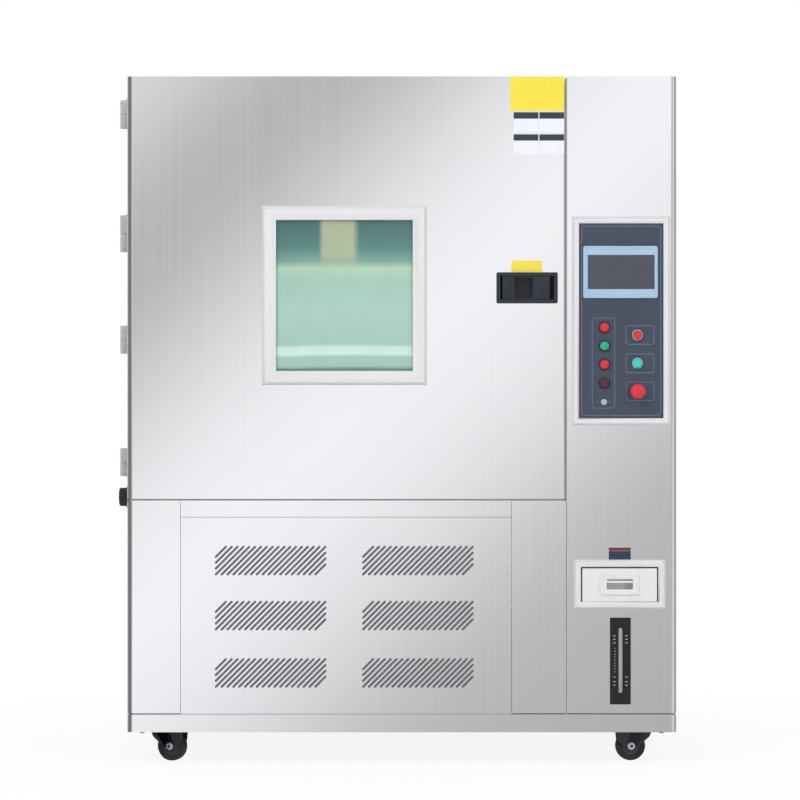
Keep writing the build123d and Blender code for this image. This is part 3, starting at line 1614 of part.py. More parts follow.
# Latch keeper: two ears with a pin, on the door surround.
ear_inner = hook_thickness / 2 + 2
with BuildPart() as latch_keeper:
    keeper_near = body_depth - keeper_reach
    ear_left = keeper_pin_left - keeper_pin_radius
    ear_right = keeper_pin_left + keeper_pin_radius + 1.5
    block(
        ear_left, ear_right, body_depth - 4, body_depth,
        handle_centre_z - ear_inner - keeper_ear, handle_centre_z + ear_inner + keeper_ear,
    )
    for low in (handle_centre_z - ear_inner - keeper_ear, handle_centre_z + ear_inner):
        block(ear_left, ear_right, keeper_near, body_depth - 4, low, low + keeper_ear)
    with BuildSketch(Plane.XY.offset(handle_centre_z - ear_inner)):
        with Locations((at_left(keeper_pin_left), at_depth(keeper_pin_depth))):
            Circle(keeper_pin_radius)
    extrude(amount=2 * ear_inner)
save(latch_keeper.part, "latch_keeper")

# Casters: fixed plate with a kingpin, swivelling fork with an axle bolt, and a wheel.
raceway_bottom = frame_bottom - caster_plate_thickness - raceway_height
crown_top = raceway_bottom - swivel_gap
crown_bottom = crown_top - crown_thickness
leg_offset = wheel_width / 2 + fork_side_gap
caster_corners = {
    "fl": (caster_inset, caster_inset, -22),
    "fr": (cabinet_width - caster_inset, caster_inset, 187),
    "rl": (caster_inset, cabinet_depth - caster_inset, 35),
    "rr": (cabinet_width - caster_inset, cabinet_depth - caster_inset, 150),
}


def caster_planes(left, depth, turn):
    """Level plane and upright plane of a caster, both with X along its trail."""
    origin = (at_left(left), at_depth(depth), 0)
    trail = (cos(radians(turn)), sin(radians(turn)), 0)
    side = (sin(radians(turn)), -cos(radians(turn)), 0)
    level = Plane(origin=origin, x_dir=trail, z_dir=(0, 0, 1))
    upright = Plane(origin=origin, x_dir=trail, z_dir=side)
    return level, upright


def caster_plate(left, depth, turn):
    """Mounting plate with the upper raceway and the kingpin."""
    place = (at_left(left), at_depth(depth))
    with BuildPart() as plate:
        with BuildSketch(Plane.XY.offset(frame_bottom)):
            with Locations(place):
                Rectangle(caster_plate_size, caster_plate_size)
        extrude(amount=-caster_plate_thickness)
        with BuildSketch(Plane.XY.offset(raceway_bottom)):
            with Locations(place):
                RegularPolygon(raceway_radius, 32)
        extrude(amount=raceway_height)
        with BuildSketch(Plane.XY.offset(raceway_bottom)):
            with Locations(place):
                Circle(kingpin_radius)
        extrude(amount=-(crown_thickness + 2 * swivel_gap + kingpin_nut_height))
        with BuildSketch(Plane.XY.offset(crown_bottom - swivel_gap)):
            with Locations(place):
                RegularPolygon(kingpin_nut_radius, 6)
        extrude(amount=-kingpin_nut_height)
    return plate.part


def caster_fork(left, depth, turn):
    """Crown disc, two tapered legs and the axle bolt with its heads."""
    level, upright = caster_planes(left, depth, turn)
    with BuildPart() as fork:
        with BuildSketch(level.offset(crown_bottom)):
            Circle(crown_radius)
        extrude(amount=crown_thickness)
        with BuildSketch(level.offset(crown_bottom)):
            Circle(kingpin_radius + shaft_clearance)
        extrude(amount=crown_thickness, mode=Mode.SUBTRACT)
        for side in (-1, 1):
            near = side * leg_offset if side > 0 else -leg_offset - fork_leg
            with BuildSketch(upright.offset(near)):
                with BuildLine():
                    Polyline(
                        (-fork_half_top, crown_bottom + fork_sink),
                        (fork_half_top, crown_bottom + fork_sink),
                        (caster_trail + fork_eye, wheel_radius + fork_eye / 2),
                        (caster_trail + fork_eye, wheel_radius - fork_eye / 2),
                        (caster_trail + fork_eye / 2, wheel_radius - fork_eye),
                        (caster_trail - fork_eye / 2, wheel_radius - fork_eye),
                        (caster_trail - fork_eye, wheel_radius - fork_eye / 2),
                        close=True,
                    )
                make_face()
            extrude(amount=fork_leg)
        bolt_half = leg_offset + fork_leg
        with BuildSketch(upright.offset(-bolt_half)):
            with Locations((caster_trail, wheel_radius)):
                Circle(axle_radius)
        extrude(amount=2 * bolt_half)
        for head in (-bolt_half - axle_head_height, bolt_half):
            with BuildSketch(upright.offset(head)):
                with Locations((caster_trail, wheel_radius)):
                    RegularPolygon(axle_head_radius, 6)
            extrude(amount=axle_head_height)
    return fork.part


def caster_wheel(left, depth, turn):
    """Wheel with a bevelled tread and the axle's bore."""
    level, upright = caster_planes(left, depth, turn)
    with BuildPart() as wheel:
        with BuildSketch(upright.offset(-wheel_width / 2)):
            with Locations((caster_trail, wheel_radius)):
                Circle(wheel_radius)
        extrude(amount=wheel_width)
        chamfer(wheel.edges().filter_by(GeomType.CIRCLE), length=wheel_round)
        with BuildSketch(upright.offset(-wheel_width / 2)):
            with Locations((caster_trail, wheel_radius)):
                Circle(axle_radius + shaft_clearance)
        extrude(amount=wheel_width, mode=Mode.SUBTRACT)
    return wheel.part


save(Compound(children=[caster_plate(*spot) for spot in caster_corners.values()]), "caster_plates")
for corner, spot in caster_corners.items():
    save(caster_fork(*spot), "caster_fork_" + corner)
    save(caster_wheel(*spot), "caster_wheel_" + corner)
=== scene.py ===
"""Environmental test chamber: the visible pieces, their finishes, the light and the camera."""

import json
import math

import bmesh
import bpy
from mathutils import Matrix, Vector

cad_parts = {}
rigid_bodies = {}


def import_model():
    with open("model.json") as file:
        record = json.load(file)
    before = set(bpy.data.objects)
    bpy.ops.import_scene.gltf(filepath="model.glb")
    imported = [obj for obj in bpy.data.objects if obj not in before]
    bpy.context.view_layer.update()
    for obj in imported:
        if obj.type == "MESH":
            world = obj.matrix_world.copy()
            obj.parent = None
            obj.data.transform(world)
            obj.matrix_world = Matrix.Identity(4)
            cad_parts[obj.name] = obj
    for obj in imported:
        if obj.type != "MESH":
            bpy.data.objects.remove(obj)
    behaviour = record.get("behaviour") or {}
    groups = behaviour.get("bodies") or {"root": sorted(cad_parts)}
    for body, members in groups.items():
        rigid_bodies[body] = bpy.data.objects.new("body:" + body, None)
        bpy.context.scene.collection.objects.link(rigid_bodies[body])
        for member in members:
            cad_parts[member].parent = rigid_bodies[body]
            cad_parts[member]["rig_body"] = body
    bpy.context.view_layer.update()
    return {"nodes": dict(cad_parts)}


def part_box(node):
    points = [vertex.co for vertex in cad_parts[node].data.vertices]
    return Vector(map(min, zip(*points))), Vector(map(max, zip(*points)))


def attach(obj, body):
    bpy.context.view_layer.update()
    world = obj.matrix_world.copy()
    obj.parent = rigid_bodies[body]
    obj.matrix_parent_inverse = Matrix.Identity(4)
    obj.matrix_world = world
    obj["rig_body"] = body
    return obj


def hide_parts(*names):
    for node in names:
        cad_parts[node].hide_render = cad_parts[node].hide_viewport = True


bl_info = {
    "name": "Environmental Test Chamber",
    "version": (1, 0, 0),
    "blender": (4, 5, 0),
    "location": "View3D > Sidebar > Test Chamber",
    "description": "Door, control column, drawer, gauge, casters and inside of a test chamber",
    "category": "Object",
}

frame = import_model()
NODES = frame["nodes"]
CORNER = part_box("base_skirt")[0]
MM = 0.001
FORWARD = Vector((0, -1, 0))
UPWARD = Vector((0, 0, 1))
CABINET_DEPTH = 1100
FINISHES = {}


def place(left, depth, height):
    """Point given by its distances in millimetres from the cabinet's left side, front and floor."""
    return Vector((CORNER.x + left * MM, CORNER.y + depth * MM, height * MM))


def linear(red, green, blue):
    """Scene colour of an 8-bit display colour."""
    return tuple(
        (c / 255 / 12.92) if c <= 10 else ((c / 255 + 0.055) / 1.055) ** 2.4
        for c in (red, green, blue)
    )


# Sizes and colours a user may change


def length_field(label, text, default, low, high):
    """Length in the sidebar."""
    return bpy.props.FloatProperty(
        name=label, description=text, default=default, min=low, max=high, unit="LENGTH"
    )


def colour_field(label, text, default):
    """Colour in the sidebar."""
    return bpy.props.FloatVectorProperty(
        name=label, description=text, subtype="COLOR", min=0, max=1, default=default
    )


class ChamberSizes(bpy.types.PropertyGroup):
    """Sizes of the small pieces that are added to the chamber."""

    edge_bevel: length_field(
        "Edge Bevel", "Width of the bevel on frames and housings", 0.0009, 0.0002, 0.003
    )
    lip_radius: length_field(
        "Grille Lip", "Radius of the pressed lip round each grille slot", 0.0006, 0.0003, 0.0015
    )
    screw_radius: length_field(
        "Screw Head", "Radius of the screw heads on the rear panels", 0.0045, 0.002, 0.008
    )
    fin_pitch: length_field(
        "Fin Pitch", "Distance between the fins of the coils", 0.005, 0.003, 0.012
    )
    line_width: length_field(
        "Panel Line", "Width of the raised outlines on the control panel", 0.0018, 0.0008, 0.004
    )
    plate_thickness: length_field(
        "Blank Plate", "Thickness of the blank plates on the door and column", 0.0007, 0.0003, 0.002
    )


class ChamberColours(bpy.types.PropertyGroup):
    """Colours of the chamber's finishes."""

    steel: colour_field("Brushed Steel", "Outer sheets", (0.86, 0.865, 0.89))
    tank: colour_field("Tank Steel", "Inner tank, door lining and duct", (0.74, 0.74, 0.74))
    panel: colour_field("Control Panel", "Dark panel of the column", linear(60, 69, 86))
    panel_line: colour_field("Panel Lines", "Outlines on the control panel", linear(98, 113, 134))
    bezel: colour_field("Screen Bezel", "Frame of the touch screen", linear(160, 190, 214))
    screen: colour_field("Screen", "Dark glass of the touch screen", linear(58, 64, 78))
    red: colour_field("Red", "Red lamps, power button and stop button", linear(214, 34, 44))
    green: colour_field("Green", "Green lamp", linear(12, 172, 118))
    cyan: colour_field("Cyan", "Start button", linear(14, 205, 198))
    maroon: colour_field("Buzzer", "Buzzer cap", linear(84, 44, 52))
    glass: colour_field("Coated Glass", "Outer pane of the window", linear(236, 250, 246))
    black: colour_field("Black Plastic", "Latch handle", linear(38, 41, 52))
    white: colour_field("White Plastic", "Drawer, its handle and grip bar", linear(226, 226, 226))
    yellow: colour_field("Yellow Plate", "Blank yellow plates", linear(236, 218, 66))
    filter_pad: colour_field("Filter Pad", "Pads behind the grille", linear(112, 113, 117))
    trim: colour_field("White Trim", "Window, control and drawer frames", linear(221, 221, 224))
    navy: colour_field("Navy Plate", "Blank navy plates", linear(42, 50, 76))


# Finishes


NOISE_RANGE = (0.3, 0.7)
FINE_SHARE = 0.65
COAT_ROUGHNESS = 0.08
BUMP_DEPTH = 0.0005


def give(tree, node, given):
    """Set a node's inputs, or join them where a socket is given."""
    for key, value in given.items():
        if isinstance(value, bpy.types.NodeSocket):
            tree.links.new(value, node.inputs[key])
        else:
            node.inputs[key].default_value = value


def add_node(tree, kind, given=None, **settings):
    """New node of a tree with some of its settings and inputs."""
    made = tree.nodes.new(kind)
    for key, value in settings.items():
        setattr(made, key, value)
    give(tree, made, given or {})
    return made


def reckoned(tree, operation, *values):
    """Result of a sum over numbers and sockets."""
    made = add_node(tree, "ShaderNodeMath", dict(enumerate(values)), operation=operation)
    return made.outputs[0]


def blended(tree, share, first, second, **settings):
    """Mix of two colours."""
    made = add_node(
        tree, "ShaderNodeMix", {0: share, 6: first, 7: second}, data_type="RGBA", **settings
    )
    return made.outputs[2]


def noise(tree, vector, scale, detail):
    """Noise over a vector."""
    made = add_node(
        tree, "ShaderNodeTexNoise", {"Vector": vector, "Scale": scale, "Detail": detail}
    )
    return made.outputs["Fac"]


def mapped(tree, value, start, stop, low=0.0, high=1.0):
    """Value brought from one range to another."""
    made = add_node(
        tree, "ShaderNodeMapRange",
        {"Value": value, "From Min": start, "From Max": stop, "To Min": low, "To Max": high},
    )
    return made.outputs["Result"]


def spread(tree, value, low, high):
    """Noise stretched from its usual range to two limits."""
    return mapped(tree, value, *NOISE_RANGE, low, high)


def banded(tree, value, stops):
    """Colour that follows a value through stops given as (value, colour)."""
    low, high = stops[0][0], stops[-1][0]
    ramp = add_node(tree, "ShaderNodeValToRGB", {"Fac": mapped(tree, value, low, high)})
    stages = ramp.color_ramp.elements
    while len(stages) < len(stops):
        stages.new(1.0)
    for stage, (position, colour) in zip(stages, stops):
        stage.position = (position - low) / (high - low)
        stage.color = (*colour, 1)
    return ramp.outputs["Color"]


def finish(
    name, colour, metallic=0.0, roughness=0.4, grain=(300, 300, 300), shade=0.05, cloud_size=3.0,
    uneven=0.05, relief=0.05, coat=0.0, see_through=1.0, index=1.45,
):
    """Surface with a fine grain, a soft cloudy tone, uneven gloss and a slight relief."""
    if name in FINISHES:
        return FINISHES[name]
    material = bpy.data.materials.new(name)
    material.use_nodes = True
    tree = material.node_tree
    where = add_node(tree, "ShaderNodeTexCoord").outputs["Object"]
    stretch = add_node(tree, "ShaderNodeMapping", {"Vector": where, "Scale": grain})
    fine = noise(tree, stretch.outputs["Vector"], 1.0, 4.0)
    cloud = reckoned(tree, "MULTIPLY", noise(tree, where, cloud_size, 2.0), 1 - FINE_SHARE)
    both = reckoned(tree, "MULTIPLY_ADD", fine, FINE_SHARE, cloud)
    dark = (*[c * (1 - shade) for c in colour], 1)
    light = (*[min(1.0, c * (1 + shade)) for c in colour], 1)
    bump = add_node(
        tree, "ShaderNodeBump", {"Strength": relief, "Distance": BUMP_DEPTH, "Height": fine}
    )
    give(
        tree, tree.nodes["Principled BSDF"],
        {
            "Base Color": blended(tree, spread(tree, both, 0.0, 1.0), dark, light),
            "Roughness": spread(tree, fine, max(0.02, roughness - uneven), roughness + uneven),
            "Normal": bump.outputs["Normal"], "Metallic": metallic, "Coat Weight": coat,
            "Coat Roughness": COAT_ROUGHNESS, "IOR": index, "Alpha": see_through,
        },
    )
    FINISHES[name] = material
    return material


def brushed(name, colour, along="Z", roughness=0.12):
    """Stainless sheet brushed along one axis."""
    lines = {"X": (0.7, 260, 260), "Y": (260, 0.7, 260), "Z": (260, 260, 0.7)}[along]
    return finish(
        name, colour, metallic=1.0, roughness=roughness, grain=lines, shade=0.022,
        cloud_size=1.3, uneven=0.015, relief=0.005,
    )


def zinc():
    """Plated steel of bolts, pins and brackets."""
    return finish(
        "bright_zinc", (0.72, 0.72, 0.73), metallic=1.0, roughness=0.3, grain=(900, 900, 900),
        shade=0.12, cloud_size=40, uneven=0.08,
    )


def polished(name, colour):
    """Bright drawn metal of rings, shelves and blades."""
    return finish(
        name, colour, metallic=1.0, roughness=0.2, grain=(500, 500, 500), shade=0.05,
        cloud_size=6, uneven=0.05, relief=0.02,
    )


def moulded(name, colour, roughness=0.42, coat=0.0):
    """Moulded plastic with a satin grain."""
    return finish(
        name, colour, roughness=roughness, grain=(1400, 1400, 1400), shade=0.1, cloud_size=14,
        uneven=0.07, relief=0.06, coat=coat,
    )


def painted(name, colour, roughness=0.38, peel=0.08):
    """Baked paint with a slight orange peel."""
    return finish(
        name, colour, roughness=roughness, grain=(420, 420, 420), shade=peel * 0.7, cloud_size=5,
        uneven=0.06, relief=peel, coat=0.15,
    )


def rubber(name, colour):
    """Matt rubber with a fine grain."""
    return finish(
        name, colour, roughness=0.72, grain=(1100, 1100, 1100), shade=0.16, cloud_size=18,
        uneven=0.1, relief=0.14,
    )


def coat_node(names, material):
    """Give CAD nodes a material."""
    for name in names:
        for holder in NODES[name].material_slots:
            holder.material = material


# Meshes


def finished(name, bm, material, body, replaces=(), angle=32):
    """Turn a bmesh into a finished piece that rides on a body."""
    bmesh.ops.recalc_face_normals(bm, faces=bm.faces)
    mesh = bpy.data.meshes.new(name)
    bm.to_mesh(mesh)
    bm.free()
    settled(name, mesh, material, body, replaces, angle)


def settled(name, mesh, material, body, replaces=(), angle=32):
    """Make a finished piece of a mesh: material, body and the nodes that it stands for."""
    mesh.materials.clear()
    mesh.materials.append(material)
    mesh.shade_smooth()
    mesh.set_sharp_from_angle(angle=math.radians(angle))
    piece = placed(name, mesh)
    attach(piece, body)
    if replaces:
        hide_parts(*replaces)


def placed(name, data):
    """New object of the scene."""
    made = bpy.data.objects.new(name, data)
    bpy.context.scene.collection.objects.link(made)
    return made


def evaluated_mesh(piece):
    """Plain mesh of an object with its modifiers, and the object removed."""
    graph = bpy.context.evaluated_depsgraph_get()
    mesh = bpy.data.meshes.new_from_object(
        piece.evaluated_get(graph), preserve_all_data_layers=True, depsgraph=graph
    )
    bpy.data.objects.remove(piece)
    return mesh


def bevelled_copy(node, name, material, width):
    """Copy of a CAD node with merged faces and softly bevelled edges."""
    bm = bmesh.new()
    bm.from_mesh(NODES[node].data)
    bmesh.ops.remove_doubles(bm, verts=bm.verts, dist=1e-5)
    bmesh.ops.dissolve_limit(bm, angle_limit=math.radians(0.6), verts=bm.verts, edges=bm.edges)
    mesh = bpy.data.meshes.new(name)
    bm.to_mesh(mesh)
    bm.free()
    draft = placed(name + "_draft", mesh)
    bevel = draft.modifiers.new("Edge", "BEVEL")
    bevel.width = width
    bevel.segments = 2
    bevel.limit_method = "ANGLE"
    bevel.angle_limit = math.radians(28)
    made = evaluated_mesh(draft)
    settled(name, made, material, NODES[node]["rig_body"], (node,), angle=40)


def across(axis):
    """Two directions square to an axis."""
    axis = axis.normalized()
    side = axis.cross(UPWARD)
    if side.length < 1e-4:
        side = Vector((1, 0, 0))
    side.normalize()
    return side, axis.cross(side).normalized()


def neighbours(rings, loop):
    """Rings in pairs, and where they close a loop also the last with the first."""
    return list(zip(rings, rings[1:])) + ([(rings[-1], rings[0])] if loop else [])


def lathe(bm, centre, axis, profile, segments=48, loop=False):
    """Surface turned round an axis. The profile lists (radius, height) in millimetres."""
    axis = axis.normalized()
    side, up = across(axis)
    turns = [2 * math.pi * i / segments for i in range(segments)]
    rings = []
    for radius, height in profile:
        middle = centre + axis * height * MM
        spokes = [(side * math.cos(turn) + up * math.sin(turn)) * radius * MM for turn in turns]
        rings.append([bm.verts.new(middle + spoke) for spoke in spokes[: None if radius else 1]])
    for low, high in neighbours(rings, loop):
        for i in range(segments):
            j = (i + 1) % segments
            corners = [
                low[i % len(low)], low[j % len(low)], high[j % len(high)], high[i % len(high)],
            ]
            corners = list(dict.fromkeys(corners))
            if len(corners) > 2:
                bm.faces.new(corners)


def turned(name, centres, axis, profile, material, body, slot, replaces=(), **shape):
    """Finished piece turned round an axis, once at each centre."""
    bm = bmesh.new()
    for centre in centres:
        lathe(bm, centre, axis, profile, **shape)
    finished(name, bm, material, body, replaces)


ARC_STEPS = 6


def outline(width, height, radius):
    """Points of a rounded rectangle about its centre, in millimetres."""
    radius = max(radius, 0.01)
    points = []
    for cx, cy, start in ((1, 1, 0), (-1, 1, 90), (-1, -1, 180), (1, -1, 270)):
        for step in range(ARC_STEPS + 1):
            turn = math.radians(start + 90 * step / ARC_STEPS)
            points.append(
                (
                    cx * (width / 2 - radius) + radius * math.cos(turn),
                    cy * (height / 2 - radius) + radius * math.sin(turn),
                )
            )
    return points


def loft(bm, rings, loop=False):
    """Skin over rings of points that all have the same count, closed at both ends or to a loop."""
    rows = [[bm.verts.new(point) for point in ring] for ring in rings]
    for low, high in neighbours(rows, loop):
        for i in range(len(low)):
            j = (i + 1) % len(low)
            bm.faces.new((low[i], low[j], high[j], high[i]))
    if not loop:
        bm.faces.new(rows[0])
        bm.faces.new(rows[-1])


def front_ring(left, height, width, tall, radius, rise):
    """Rounded rectangle that faces forwards. Rise is its distance in front of the cabinet."""
    middle = place(left, -rise, height)
    return [middle + Vector((x * MM, 0, z * MM)) for x, z in outline(width, tall, radius)]


def plate(bm, left, height, width, tall, radius, back, front, edge):
    """Rounded plate with a chamfered front edge, between two distances in front of the cabinet."""
    rings = (
        (width, tall, radius, back), (width, tall, radius, front - edge),
        (width - 2 * edge, tall - 2 * edge, radius - edge, front),
    )
    loft(bm, [front_ring(left, height, *ring) for ring in rings])


def frame_plate(bm, left, height, outer, inner, back, front, edge=0.4):
    """Rounded plate with a rounded opening. Outer and inner give (width, height, radius)."""
    w, t, r = outer
    a, b, c = inner
    rings = (
        (*outer, back), (*outer, front - edge), (w - 2 * edge, t - 2 * edge, r - edge, front),
        (a + 2 * edge, b + 2 * edge, c + edge, front), (*inner, front - edge), (*inner, back),
    )
    loft(bm, [front_ring(left, height, *ring) for ring in rings], loop=True)


def bar(bm, low, high, bevel):
    """Box between two corners, with bevelled edges."""
    size = Matrix.Diagonal((*(high - low), 1))
    made = bmesh.ops.create_cube(bm, size=1, matrix=Matrix.Translation((low + high) / 2) @ size)
    edges = list({edge for vert in made["verts"] for edge in vert.link_edges})
    bmesh.ops.bevel(
        bm, geom=edges, offset=bevel, segments=2, affect="EDGES", profile=0.5, clamp_overlap=True
    )


# Node trees for what repeats


def begin_tree(name, sizes):
    """Geometry node tree with named inputs and a finish."""
    tree = bpy.data.node_groups.new(name, "GeometryNodeTree")
    sockets = tree.interface
    sockets.new_socket(name="Geometry", in_out="INPUT", socket_type="NodeSocketGeometry")
    for label, kind, default in sizes:
        made = sockets.new_socket(name=label, in_out="INPUT", socket_type="NodeSocket" + kind)
        made.default_value = default
    sockets.new_socket(name="Finish", in_out="INPUT", socket_type="NodeSocketMaterial")
    sockets.new_socket(name="Geometry", in_out="OUTPUT", socket_type="NodeSocketGeometry")
    return tree, tree.nodes.new("NodeGroupInput")


def named(tree, label):
    """Vector that the points carry under a name."""
    made = add_node(
        tree, "GeometryNodeInputNamedAttribute", {"Name": label}, data_type="FLOAT_VECTOR"
    )
    return made.outputs["Attribute"]


def realised(tree, given, **joins):
    """End a tree by setting copies on points, as real geometry with the finish."""
    copies = add_node(tree, "GeometryNodeInstanceOnPoints", joins)
    real = add_node(tree, "GeometryNodeRealizeInstances", {0: copies.outputs[0]})
    dress = add_node(
        tree, "GeometryNodeSetMaterial",
        {"Geometry": real.outputs[0], "Material": given.outputs["Finish"]},
    )
    add_node(tree, "NodeGroupOutput", {0: dress.outputs[0]})
    return tree


def end_tree(tree, given, shape):
    """End a tree by setting the shape on every point, turned and stretched by the points."""
    turn = add_node(tree, "FunctionNodeEulerToRotation", {0: named(tree, "turn")})
    return realised(
        tree, given, Points=given.outputs["Geometry"], Instance=shape, Rotation=turn.outputs[0],
        Scale=named(tree, "stretch"),
    )


def box_shape(tree, given, *labels):
    """Box whose width, depth and height are inputs of the tree."""
    sides = {axis: given.outputs[label] for axis, label in zip("XYZ", labels)}
    size = add_node(tree, "ShaderNodeCombineXYZ", sides)
    return add_node(tree, "GeometryNodeMeshCube", {"Size": size.outputs[0]}).outputs["Mesh"]


def rod_tree():
    """Round rods, one metre long until their points stretch them."""
    tree, given = begin_tree(
        "Round Rods", (("Radius", "Float", 0.001), ("Sides", "Int", 8), ("Length", "Float", 1.0))
    )
    rod = add_node(
        tree, "GeometryNodeMeshCylinder",
        {
            "Radius": given.outputs["Radius"], "Vertices": given.outputs["Sides"],
            "Depth": given.outputs["Length"],
        },
    )
    return end_tree(tree, given, rod.outputs["Mesh"])


def bar_tree():
    """Flat bars of one size, stretched by their points."""
    labels = ("Width", "Depth", "Height")
    tree, given = begin_tree("Flat Bars", [(label, "Float", 0.001) for label in labels])
    return end_tree(tree, given, box_shape(tree, given, *labels))


def screw_tree():
    """Pan-head screws: a low drum with a narrowing cap on it."""
    tree, given = begin_tree(
        "Screw Heads", (("Head Radius", "Float", 0.004), ("Head Height", "Float", 0.002))
    )
    radius, height = given.outputs["Head Radius"], given.outputs["Head Height"]
    whole = add_node(tree, "GeometryNodeJoinGeometry")
    for start, bottom, top, tall in ((0.0, 1.0, 0.96, 0.45), (0.45, 0.9, 0.55, 0.55)):
        cone = add_node(
            tree, "GeometryNodeMeshCone",
            {
                "Vertices": 16, "Radius Bottom": reckoned(tree, "MULTIPLY", radius, bottom),
                "Radius Top": reckoned(tree, "MULTIPLY", radius, top),
                "Depth": reckoned(tree, "MULTIPLY", height, tall),
            },
        )
        lift = add_node(
            tree, "ShaderNodeCombineXYZ", {"Z": reckoned(tree, "MULTIPLY", height, start)}
        )
        move = add_node(
            tree, "GeometryNodeTransform",
            {"Geometry": cone.outputs["Mesh"], "Translation": lift.outputs[0]},
        )
        give(tree, whole, {0: move.outputs[0]})
    return end_tree(tree, given, whole.outputs[0])


def fin_tree():
    """Row of thin fins at a steady pitch."""
    tree, given = begin_tree(
        "Coil Fins",
        (
            ("Count", "Int", 10), ("Pitch", "Float", 0.005), ("Thickness", "Float", 0.0004),
            ("Depth", "Float", 0.002), ("Height", "Float", 0.1), ("Start", "Vector", (0, 0, 0)),
        ),
    )
    step = add_node(tree, "ShaderNodeCombineXYZ", {"X": given.outputs["Pitch"]})
    row = add_node(
        tree, "GeometryNodeMeshLine",
        {
            "Count": given.outputs["Count"], "Start Location": given.outputs["Start"],
            "Offset": step.outputs[0],
        },
    )
    fin = box_shape(tree, given, "Thickness", "Depth", "Height")
    return realised(tree, given, Points=row.outputs[0], Instance=fin)


def grow(name, tree, points, sizes, material, body, replaces=()):
    """Run a tree over points given as (place, turn, stretch), and keep the result as a piece."""
    mesh = bpy.data.meshes.new(name + "_points")
    mesh.from_pydata([list(point[0]) for point in points], [], [])
    for label, index in (("turn", 1), ("stretch", 2)):
        values = mesh.attributes.new(label, "FLOAT_VECTOR", "POINT")
        values.data.foreach_set("vector", [x for point in points for x in point[index]])
    draft = placed(name + "_draft", mesh)
    modifier = draft.modifiers.new("Copies", "NODES")
    modifier.node_group = tree
    given = {**sizes, "Finish": material}
    for item in tree.interface.items_tree:
        if item.in_out == "INPUT" and item.name in given:
            modifier[item.identifier] = given[item.name]
    settled(name, evaluated_mesh(draft), material, body, replaces)


# Makers of the pieces

GRILLE_BANKS = [(left, height) for left in (224, 599) for height in (231, 377, 517)]
SLOT_PITCH = 14.9
SLOT_WIDTH = 5.5
BANK_LENGTH = 284
BANK_HEIGHT = 75.4
PAD_OVERLAP = 4
PAD_TALL = 84
PAD_NEAR, PAD_FAR = 1.7, 5.5
FULL_SLOTS = 15
SHORT_SLOTS = 3
CORNER_CUT = 1.5
CORNER_LENGTH = 2.2
GASKETS = (((6, 3, 670.1), (1112, 14, 673.2)), ((1116.6, 4, 675), (1119.9, 14, 1746)))
REAR_SCREWS = (
    ((30, 360, 700, 1040, 1370), (150, 690, 735, 1725)),
    ((12, 1388), (330, 510, 980, 1230, 1480)),
)


def grille_slots():
    """Centre, in left and height, and length of each diagonal slot."""
    full = BANK_HEIGHT - SLOT_WIDTH
    for left, height in GRILLE_BANKS:
        for row in range(-SHORT_SLOTS, FULL_SLOTS + SHORT_SLOTS):
            run = full - max(0, -row, row - FULL_SLOTS + 1) * SLOT_PITCH
            x = left + max(0, row) * SLOT_PITCH + (SLOT_WIDTH + run) / 2
            z = height - BANK_HEIGHT / 2 + max(0, -row) * SLOT_PITCH + (SLOT_WIDTH + run) / 2
            yield x, z, run * math.sqrt(2) + SLOT_WIDTH


